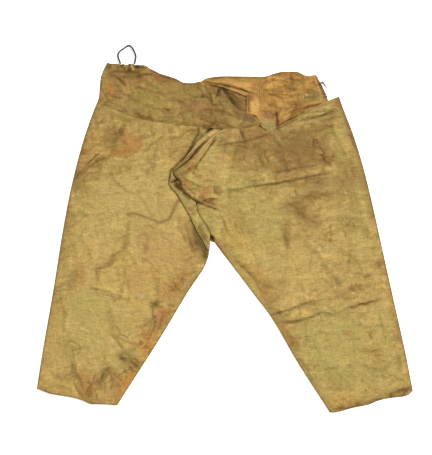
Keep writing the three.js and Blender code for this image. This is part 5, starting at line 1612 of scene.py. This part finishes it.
def add_legs():
    left_outside = silk_material("left_leg_silk", "cloth_tint", LEG_SLANT)
    right_outside = silk_material("right_leg_silk", "cloth_tint", -LEG_SLANT)
    inside = silk_material("inner_silk", "inner_tint", 0)
    left = dict(
        inner=LEFT_INNER, outer=LEFT_OUTER, back=BACK_SEAM,
        top=[(x, y - TOP_TUCK) for x, y in WAIST_SEAM],
        back_top=BACK_WAIST, hem=LEFT_HEM,
        closed_at=LEFT_CROTCH_Y + CLOSED_ABOVE, spread=LEFT_SPREAD, seed=SEED["left_leg"],
        slant=LEG_SLANT, height=left_front, blots=LEFT_BLOTS, lines=LEFT_LINES,
        stations=LEFT_STATIONS)
    right = dict(
        inner=RIGHT_INNER, outer=RIGHT_OUTER, back=BACK_SEAM,
        top=RIGHT_TOP, back_top=BACK_WAIST, hem=RIGHT_HEM,
        closed_at=RIGHT_CROTCH_Y + CLOSED_ABOVE, spread=RIGHT_SPREAD, seed=SEED["right_leg"],
        slant=-LEG_SLANT, height=right_front, blots=RIGHT_BLOTS, lines=RIGHT_LINES,
        stations=RIGHT_STATIONS)
    made = leg("leg_left", left, [left_outside, inside])
    other = leg("leg_right", right, [right_outside, inside])
    return [made, other]


# ---- Gusset ------------------------------------------------------------------------------
GUSSET_ROWS = 200
GUSSET_TOP_COLUMNS = 44
GUSSET_BASE_COLUMNS = 14
GUSSET_SPREAD = 0.8  # below 1, columns are closer together at the fold
GUSSET_SLANT = 60
GUSSET_WEFT = 64
SCRAP_CRUMPLE = 1.2  # the gusset, the back's end and the tab are more crumpled than a leg
GUSSET_WAVE = (0.00012, 0.02)  # rise, size
GUSSET_FLAT_SHARE = 0.3


def add_gusset():
    """The doubled strip between the legs, with its fold to the left."""
    y = np.linspace(GUSSET_FOLD[0][0], GUSSET_FOLD[-1][0], GUSSET_ROWS)[:, None]
    start = gusset_open(y)
    end = gusset_fold(y) + FOLD_REACH

    def wall(share, level, sink):
        x = lerp(start, end, share)
        ys = np.broadcast_to(y, x.shape)
        rise, size = GUSSET_WAVE
        wave = rise * rough(x, ys, size, SEED["gusset_wave"], 3)
        wave = wave * smoothstep(share, 0, GUSSET_FLAT_SHARE)
        z = level * LAYER + ON_LAYER + wave - settle(x, ys) * sink
        return np.stack([x, ys, z], axis=2)

    top = wall(np.linspace(0, 1, GUSSET_TOP_COLUMNS) ** GUSSET_SPREAD, 3, 1)
    base = wall(np.linspace(1, 0, GUSSET_BASE_COLUMNS), 2, 0.5)
    points = folded(top, base)
    x, ys = points[..., 0], points[..., 1]
    tint = silk_tint(x, ys, SEED["gusset"], GUSSET_SLANT, GUSSET_GROUND)
    crumple(x, ys, SEED["gusset_relief"], GUSSET_WEFT, tint, SCRAP_CRUMPLE)
    marked(x, ys, tint, GUSSET_BLOTS, GUSSET_LINES)
    columns = points.shape[1]
    faces = grid_faces(len(points), columns, columns - len(FOLD_ANGLES))
    outside = silk_material("gusset_silk", "cloth_tint", GUSSET_SLANT)
    made = cloth("crotch_gusset_silk", points, faces, tint, tint, [outside, outside])
    dress(made, "crotch_gusset")
    return made


# ---- Waistband ---------------------------------------------------------------------------
BAND_ROWS = 58
BAND_COLUMNS = 230
BAND_BACK_COLUMNS = 70
BAND_SLANT = 12
BAND_WEFT = -8
BAND_LIFT = 0.0002
JOIN_RISE = 0.0004
JOIN_SOFT = 0.006
JOIN_STAIN = 0.004
BUNCH = (0.006, 0.264, 0.022, 0.020, 0.0036)  # x, y, half-lengths and rise of the bunched corner
CASING_DEPTH = 0.0007  # of the casing's seam
CASING_DOWN = 0.020
CASING_WIDTH = 0.004
CASING_END_X = (-0.21, -0.19)
GATHERED_END_X = (-0.19, -0.17)
GATHER_SCALLOP = 0.0014  # unevenness of the top edge over the gathers
GATHER_FRAY = (0.0012, 0.0045)
SEAM_CLEAR = 0.006
waist_seam = curve(WAIST_SEAM)
back_waist = curve(BACK_WAIST)
band_top = curve(BAND_TOP)
back_top = curve(BACK_TOP)


def pucker(x):
    """1 on top of a gather of the casing, 0 between two and away from the drawstring."""
    share = (x - PUCKER_FROM_X) / (PUCKER_TO_X - PUCKER_FROM_X)
    bent = share + sum(reach * np.sin(2 * np.pi * share * turns) for reach, turns in PUCKER_DRIFT)
    wave = (1 - np.cos(2 * np.pi * PUCKERS * bent)) / 2
    size = PUCKER_SIZE + (1 - PUCKER_SIZE) * hashed(np.floor(PUCKERS * bent), 0, SEED["gather"])
    return np.where((share > 0) & (share < 1), wave * size, 0)


def band_height(x, y, top, tint):
    """Heights of the band's front: the gathers, the bunched corner, the casing's seam, creases."""
    mean, uneven, size = PUCKER_REACH
    reach = PUCKER_DEPTH * (mean + uneven * noise(x, 0 * x, size, SEED["gather_reach"]))
    gathers = PUCKER_RISE * pucker(x) * smoothstep(y, top - reach, top)
    at_x, at_y, half_x, half_y, rise = BUNCH
    bunch = rise * np.exp(-((x - at_x) / half_x) ** 2) * np.exp(-((y - at_y) / half_y) ** 2)
    casing = CASING_DEPTH * np.exp(-((y - top + CASING_DOWN) / CASING_WIDTH) ** 2)
    casing = casing * (1 - smoothstep(x, *CASING_END_X))
    fine = creased(x, y, BAND_CREASES, tint) + crumple(x, y, SEED["band_relief"], BAND_WEFT, tint, 0.9)
    fine = fine * smoothstep(y, waist_seam(x), waist_seam(x) + SEAM_CLEAR)
    return above_back(LAYER + ON_LAYER + BAND_LIFT + gathers + bunch - casing + fine)


def inner_band_tint(x, y):
    """The band's inner side, which kept more of its orange."""
    within = silk_tint(x, y, SEED["band_inside"], BAND_SLANT, INNER_GROUND)
    return marked(x, y, within, BACK_BLOTS, BACK_LINES)


def add_waistband(outside, inside):
    """The first length: its front, the fold at the left side, and its back."""
    side, end = curve(BAND_SIDE), curve(BAND_END)
    up = np.linspace(0, 1, BAND_ROWS)[:, None]
    fold_x = side(lerp(*BAND_SIDE_Y, up)) + FOLD_REACH
    share = np.linspace(0, 1, BAND_COLUMNS)
    x = lerp(end(lerp(*BAND_END_Y, up)), fold_x, share)
    gathered = 1 - smoothstep(x, *GATHERED_END_X)
    fray, fray_size = GATHER_FRAY
    frayed = fray * gathered * noise(x, 0 * x, fray_size, SEED["gather_fray"])
    top = band_top(x) + GATHER_SCALLOP * pucker(x) + frayed
    y = lerp(waist_seam(x) - SEAM_OVERLAP, top, up)
    tint = silk_tint(x, y, SEED["band"], BAND_SLANT, BAND_GROUND)
    z = band_height(x, y, top, tint)
    marked(x, y, tint, BAND_BLOTS, BAND_LINES)
    front = np.stack([x, y, z], axis=2)
    bx = lerp(fold_x, BACK_JOIN_X + SEAM_OVERLAP, np.linspace(0, 1, BAND_BACK_COLUMNS))
    by = lerp(back_waist(bx), back_top(bx), up)
    over_end = JOIN_RISE * smoothstep(bx, BACK_JOIN_X - JOIN_SOFT, BACK_JOIN_X)
    back = np.stack([bx, by, ON_TABLE + over_end], axis=2)
    points = folded(front, back)
    px, py = points[..., 0], points[..., 1]
    tints = silk_tint(px, py, SEED["band_back"], BAND_SLANT, BAND_GROUND)
    tints[:, :share.size] = tint
    columns = points.shape[1]
    # Painted shade round the folded edge.
    blend(tints, DARK_BROWN, EDGE_SHADE * ring_columns(columns, share.size)[None])
    blend(tints, INNER_BROWN, smoothstep(px, BACK_JOIN_X - JOIN_STAIN, BACK_JOIN_X))
    within = inner_band_tint(px, py)
    faces = grid_faces(len(points), columns, columns - len(FOLD_ANGLES), flip=True)
    made = cloth("waistband_silk", points, faces, tints, within, [outside, inside])
    dress(made, "waistband")
    return made


BACK_END_ROWS = 60
BACK_END_COLUMNS = 90
BACK_END_WEFT = 5
TORN = (0.0016, 0.09)  # reach and size of the raggedness of the torn end
TORN_DIRT = (0.6, 0.7, 0.5, 0.008)  # strength, mean, unevenness, size
TORN_DIRT_SHARE = 0.012
BACK_LOOSE = (0.03, 0.05)  # sewn down up to here above its lower edge, loose from there on
BACK_LOOSE_X = 0.012
BACK_PUFF = 0.0010


def add_back_end(outside, inside):
    """The second length of the back waistband, with its inner side showing."""
    end = curve(BACK_END)
    up = np.linspace(0, 1, BACK_END_ROWS)[:, None]
    share = np.linspace(0, 1, BACK_END_COLUMNS)
    reach, size = TORN
    torn = end(lerp(*BACK_END_Y, up)) + reach * rough(0 * up, up, size, SEED["torn"], 3)
    x = lerp(BACK_JOIN_X, torn, share)
    y = lerp(back_waist(x), back_top(x), up)
    within = inner_band_tint(x, y)
    strength, mean, patchy, size = TORN_DIRT
    uneven = mean + patchy * noise(x, y, size, SEED["torn_dirt"])
    blend(within, DARK_BROWN, strength * np.exp(-(1 - share) / TORN_DIRT_SHARE) * uneven)
    loose = smoothstep(y - back_waist(x), *BACK_LOOSE)
    relief = creased(x, y, BACK_CREASES, within) + crumple(
        x, y, SEED["end_relief"], BACK_END_WEFT, within, SCRAP_CRUMPLE)
    loose = loose * smoothstep(x, BACK_JOIN_X + SEAM_OVERLAP, BACK_JOIN_X + BACK_LOOSE_X)
    z = ON_TABLE + loose * (BACK_PUFF + relief)
    points = np.stack([x, y, np.maximum(z, ON_TABLE)], axis=2)
    tint = silk_tint(x, y, SEED["end_outside"], BAND_SLANT, BAND_GROUND)
    faces = grid_faces(len(up), share.size, flip=True)
    made = cloth("waistband_back_end_silk", points, faces, tint, within, [outside, inside])
    dress(made, "waistband_back_end")
    return made


TAB_ROWS = 30
TAB_COLUMNS = 34
TAB_FRAY = (0.0014, 0.011)
TAB_FRAY_RIGHT = 0.7  # of the fray at its left edge
TAB_SHEAR = (0.0016, 0.008)
TAB_DROP = 0.014  # how far down it climbs from the band's layer on to the leg
TAB_WAVE = (0.0004, 0.012)
TAB_WEFT = 20
TAB_COLOUR = (0.75, 0.3, 0.01)  # mean, unevenness, size
TAB_STAIN = (0.50, 0.006, 0.6)  # strength, size, and noise at which it is strongest
TAB_EDGE_SHARE = 0.06
TAB_EDGE_SHADE = 0.20
TAB_LINE_SHADE = 0.8
TAB_LINE_X = 0.1225  # the painted shadow line at its right edge
TAB_LINE_WIDTH = 0.0016
TAB_LINE_Y = (0.262, 0.266)


def add_tab(material):
    """A torn end of the band, hanging over the top of the right leg."""
    left, right = curve([(y, a) for y, a, b in TAB_EDGES]), curve([(y, b) for y, a, b in TAB_EDGES])
    y = np.linspace(TAB_TOP_Y, TAB_END_Y, TAB_ROWS)[:, None]
    share = np.linspace(0, 1, TAB_COLUMNS)
    reach, size = TAB_FRAY
    uneven = reach * rough(y, y, size, SEED["tab_fray"], 2)
    x = lerp(left(y) + uneven, right(y) - TAB_FRAY_RIGHT * uneven, share)
    reach, size = TAB_SHEAR
    ys = y + reach * rough(x, np.broadcast_to(y, x.shape), size, SEED["tab_shear"], 3)
    base = lerp(LAYER, 2 * LAYER + PUFF, smoothstep(TAB_TOP_Y - ys, 0, TAB_DROP))
    rise, size = TAB_WAVE
    z = base + ON_LAYER + rise * rough(x, ys, size, SEED["tab_wave"], 2)
    points = np.stack([x, ys, z], axis=2)
    tint = silk_tint(x, ys, SEED["tab"], 0, GUSSET_GROUND)
    crumple(x, ys, SEED["tab_relief"], TAB_WEFT, tint, SCRAP_CRUMPLE)
    mean, patchy, size = TAB_COLOUR
    blend(tint, TAB_GREEN, mean + patchy * rough(x, ys, size, SEED["tab_green"], 2))
    strength, size, reach = TAB_STAIN
    blend(tint, BROWN, strength * smoothstep(rough(x, ys, size, SEED["tab_brown"], 2), 0, reach))
    # Painted shade: darker along the tab's side edges, and a painted shadow line at its right edge.
    edge = np.minimum(share, 1 - share) / TAB_EDGE_SHARE
    blend(tint, CREASE_SHADE, TAB_EDGE_SHADE * np.exp(-edge ** 2)[None] + 0 * x)
    line = np.exp(-((x - TAB_LINE_X) / TAB_LINE_WIDTH) ** 2) * smoothstep(ys, *TAB_LINE_Y)
    blend(tint, CREASE_SHADE, TAB_LINE_SHADE * line)
    faces = grid_faces(len(y), share.size, flip=True)
    made = cloth("waistband_tab_silk", points, faces, tint, tint, [material, material])
    dress(made, "waistband_tab")
    return made


# ---- Sewing and loose threads ------------------------------------------------------------
STITCH = 0.0030
STITCH_GAP = 0.0022
THREAD = 0.00030  # radius of a sewing thread
DIP = 0.0004
STITCH_SIDES = 5
FIBRE_SIDES = 6
FIBRE_STEPS = 5
FIBRE_TIP = 0.4  # its radius at the far end, as a share
FIBRE_LIFT_STEP = 0.31  # noise cells from one point to the next
FIBRE_LIFT_ROW = 0.7
STITCH_SHAPE = ((0, -DIP), (0.25, THREAD), (0.5, 1.3 * THREAD), (0.75, THREAD), (1, -DIP))
HEM_DEPTH = 0.010
EDGE_SEAM = 0.004  # from the right front's edge to its stitching
# Rows of stitches: from and to in X, or in Y down the front, and the points between.
WAIST_STITCHES = (-0.298, 0.075, 50)
CASING_STITCHES = (-0.285, -0.165, 30)
FRONT_STITCHES = (0.240, 0.010, 60)
LEFT_HEM_STITCHES = (-0.444, -0.268, 40)
RIGHT_HEM_STITCHES = (0.258, 0.442, 40)
JOIN_STITCHES_Y = (0.306, 0.384)
JOIN_STITCHES_DX = (-0.0055, -0.0012)  # the two rows beside the back's joining seam
THREAD_LIFT = 0.0006
HIGH = 0.05  # above everything, for looking down on the cloth


def surface_of(pieces):
    """A search tree over finished cloth, for laying threads on it."""
    points, faces = [], []
    for piece in pieces:
        first = len(points)
        points += [vertex.co.copy() for vertex in piece.data.vertices]
        faces += [[first + i for i in polygon.vertices] for polygon in piece.data.polygons]
    return BVHTree.FromPolygons(points, faces)


def height_at(surface, x, y):
    """Height of the cloth's upper side, or of the table beside it."""
    hit = surface.ray_cast(Vector((x, y, HIGH)), Vector((0, 0, -1)))[0]
    return hit.z if hit else 0.0


def joined_tubes(name, tubes, material):
    """Many small tubes as one object."""
    points, faces = [], []
    for tube_points, tube_faces in tubes:
        first = sum(map(len, points))
        points.append(tube_points)
        faces += [[first + int(i) for i in face] for face in tube_faces]
    made = new_object(name, np.concatenate(points), faces)
    made.data.materials.append(material)
    return made


def even_points(path, step):
    """Points a step apart along a path."""
    route = np.asarray(path, float)
    run = np.r_[0, np.cumsum(np.hypot(*np.diff(route, axis=0).T))]
    at = np.arange(0, run[-1], step)
    return np.stack([np.interp(at, run, route[:, 0]), np.interp(at, run, route[:, 1])], axis=1)


def stitches(surface, path):
    """Running stitches along a path: each dips into the cloth at its ends."""
    spots = even_points(path, STITCH + STITCH_GAP)
    reach = STITCH / (STITCH + STITCH_GAP)
    radii = np.full((len(STITCH_SHAPE), 1), THREAD)
    made = []
    for a, next_a in zip(spots[:-1], spots[1:]):
        b = a + reach * (next_a - a)
        route = []
        for share, lift in STITCH_SHAPE:
            x, y = lerp(a, b, share)
            route.append((x, y, height_at(surface, x, y) + lift))
        made.append(tube(np.array(route), radii, STITCH_SIDES))
    return made


def seam_paths():
    """Where the stitching shows, from above."""
    inner, hem_left, hem_right = curve(RIGHT_INNER), curve(LEFT_HEM), curve(RIGHT_HEM)
    waist = [(x, waist_seam(x)) for x in np.linspace(*WAIST_STITCHES)]
    casing = [(x, band_top(x) - CASING_DOWN) for x in np.linspace(*CASING_STITCHES)]
    join = [[(BACK_JOIN_X + dx, y) for y in JOIN_STITCHES_Y] for dx in JOIN_STITCHES_DX]
    front = [(inner(y) + EDGE_SEAM, y) for y in np.linspace(*FRONT_STITCHES)]
    left = [(x, hem_left(x) + HEM_DEPTH) for x in np.linspace(*LEFT_HEM_STITCHES)]
    right = [(x, hem_right(x) + HEM_DEPTH) for x in np.linspace(*RIGHT_HEM_STITCHES)]
    return [waist, casing, *join, front, left, right]


def thread(surface, radius, path):
    """A loose thread on what lies under it, a little lifted here and there."""
    flat = MM * smooth_route([(x, y, 0) for x, y in path], FIBRE_STEPS)
    run = np.arange(len(flat))
    uneven = noise(FIBRE_LIFT_STEP * run, FIBRE_LIFT_ROW + 0 * run, 1, SEED["lift"])
    lift = radius + THREAD_LIFT * np.abs(uneven)
    for point, rise in zip(flat, lift):
        point[2] = height_at(surface, point[0], point[1]) + rise
    fine = radius * (1 - (1 - FIBRE_TIP) * smoothstep(run / run[-1], 0.5, 1))
    return tube(flat, fine[:, None], FIBRE_SIDES)


def add_sewing(surface):
    rows = [stitch for path in seam_paths() for stitch in stitches(surface, path)]
    made = joined_tubes("stitching", rows, thread_material("sewing_thread", *SEWING_BROWN))
    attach(made, "root")
    pale = thread_material("silk_fibre", *FIBRE_OLIVE)
    red = thread_material("reddish_fibre", *FIBRE_RED)
    for name, paths, material in (("loose_threads", LOOSE_THREADS, pale), ("tear_threads", TEAR, red)):
        made = joined_tubes(name, [thread(surface, r * MM, path) for r, path in paths], material)
        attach(made, "root")


# ---- Floor and light ---------------------------------------------------------------------
FLOOR_GLOW = 0.4  # the paper is lit from below too, as on a light table
FLOOR_REACH = 40
FLOOR_GREY = 0.93
FLOOR_ROUGHNESS = 0.9
SKY_STRENGTH = 0.62
KEY_AT = (19.5, 13.2, 16.2)  # far off, so that its light falls evenly
KEY_SIZE = 9.0
KEY_POWER = 18450


def add_floor():
    turns = ((-1, -1), (1, -1), (1, 1), (-1, 1))
    corners = [(sx * FLOOR_REACH, sy * FLOOR_REACH, 0) for sx, sy in turns]
    floor = new_object("floor", corners, [(0, 1, 2, 3)])
    n = Nodes("floor_paper")
    n.put(n.shader.inputs["Base Color"], (FLOOR_GREY, FLOOR_GREY, FLOOR_GREY, 1))
    n.put(n.shader.inputs["Roughness"], FLOOR_ROUGHNESS)
    n.put(n.shader.inputs["Specular IOR Level"], 0.0)
    n.put(n.shader.inputs["Emission Color"], (1, 1, 1, 1))
    n.put(n.shader.inputs["Emission Strength"], FLOOR_GLOW)
    floor.data.materials.append(n.material)


def add_light(name, place, size, power):
    data = bpy.data.lights.new(name, "AREA")
    data.shape = "DISK"
    data.size = size
    data.energy = power
    light = bpy.data.objects.new(name, data)
    light.location = place
    light.rotation_euler = (-Vector(place)).to_track_quat("-Z", "Y").to_euler()
    bpy.context.scene.collection.objects.link(light)


def add_lights():
    world = bpy.data.worlds.new("studio")
    bpy.context.scene.world = world
    world.use_nodes = True
    sky = world.node_tree.nodes["Background"]
    sky.inputs["Color"].default_value = (1, 1, 1, 1)
    sky.inputs["Strength"].default_value = SKY_STRENGTH
    add_light("key", KEY_AT, KEY_SIZE, KEY_POWER)


bpy.context.scene.view_settings.view_transform = "Standard"
add_camera()
add_drawstring(thread_material("drawstring_silk", *CORD_BROWN))
cloths = [*add_legs(), add_gusset()]
band_silk = silk_material("band_silk", "cloth_tint", BAND_SLANT)
inner_band_silk = silk_material("inner_band_silk", "inner_tint", BAND_SLANT)
cloths.append(add_waistband(band_silk, inner_band_silk))
cloths.append(add_back_end(band_silk, inner_band_silk))
cloths.append(add_tab(silk_material("tab_silk", "cloth_tint", 0)))
add_sewing(surface_of(cloths))
add_floor()
add_lights()
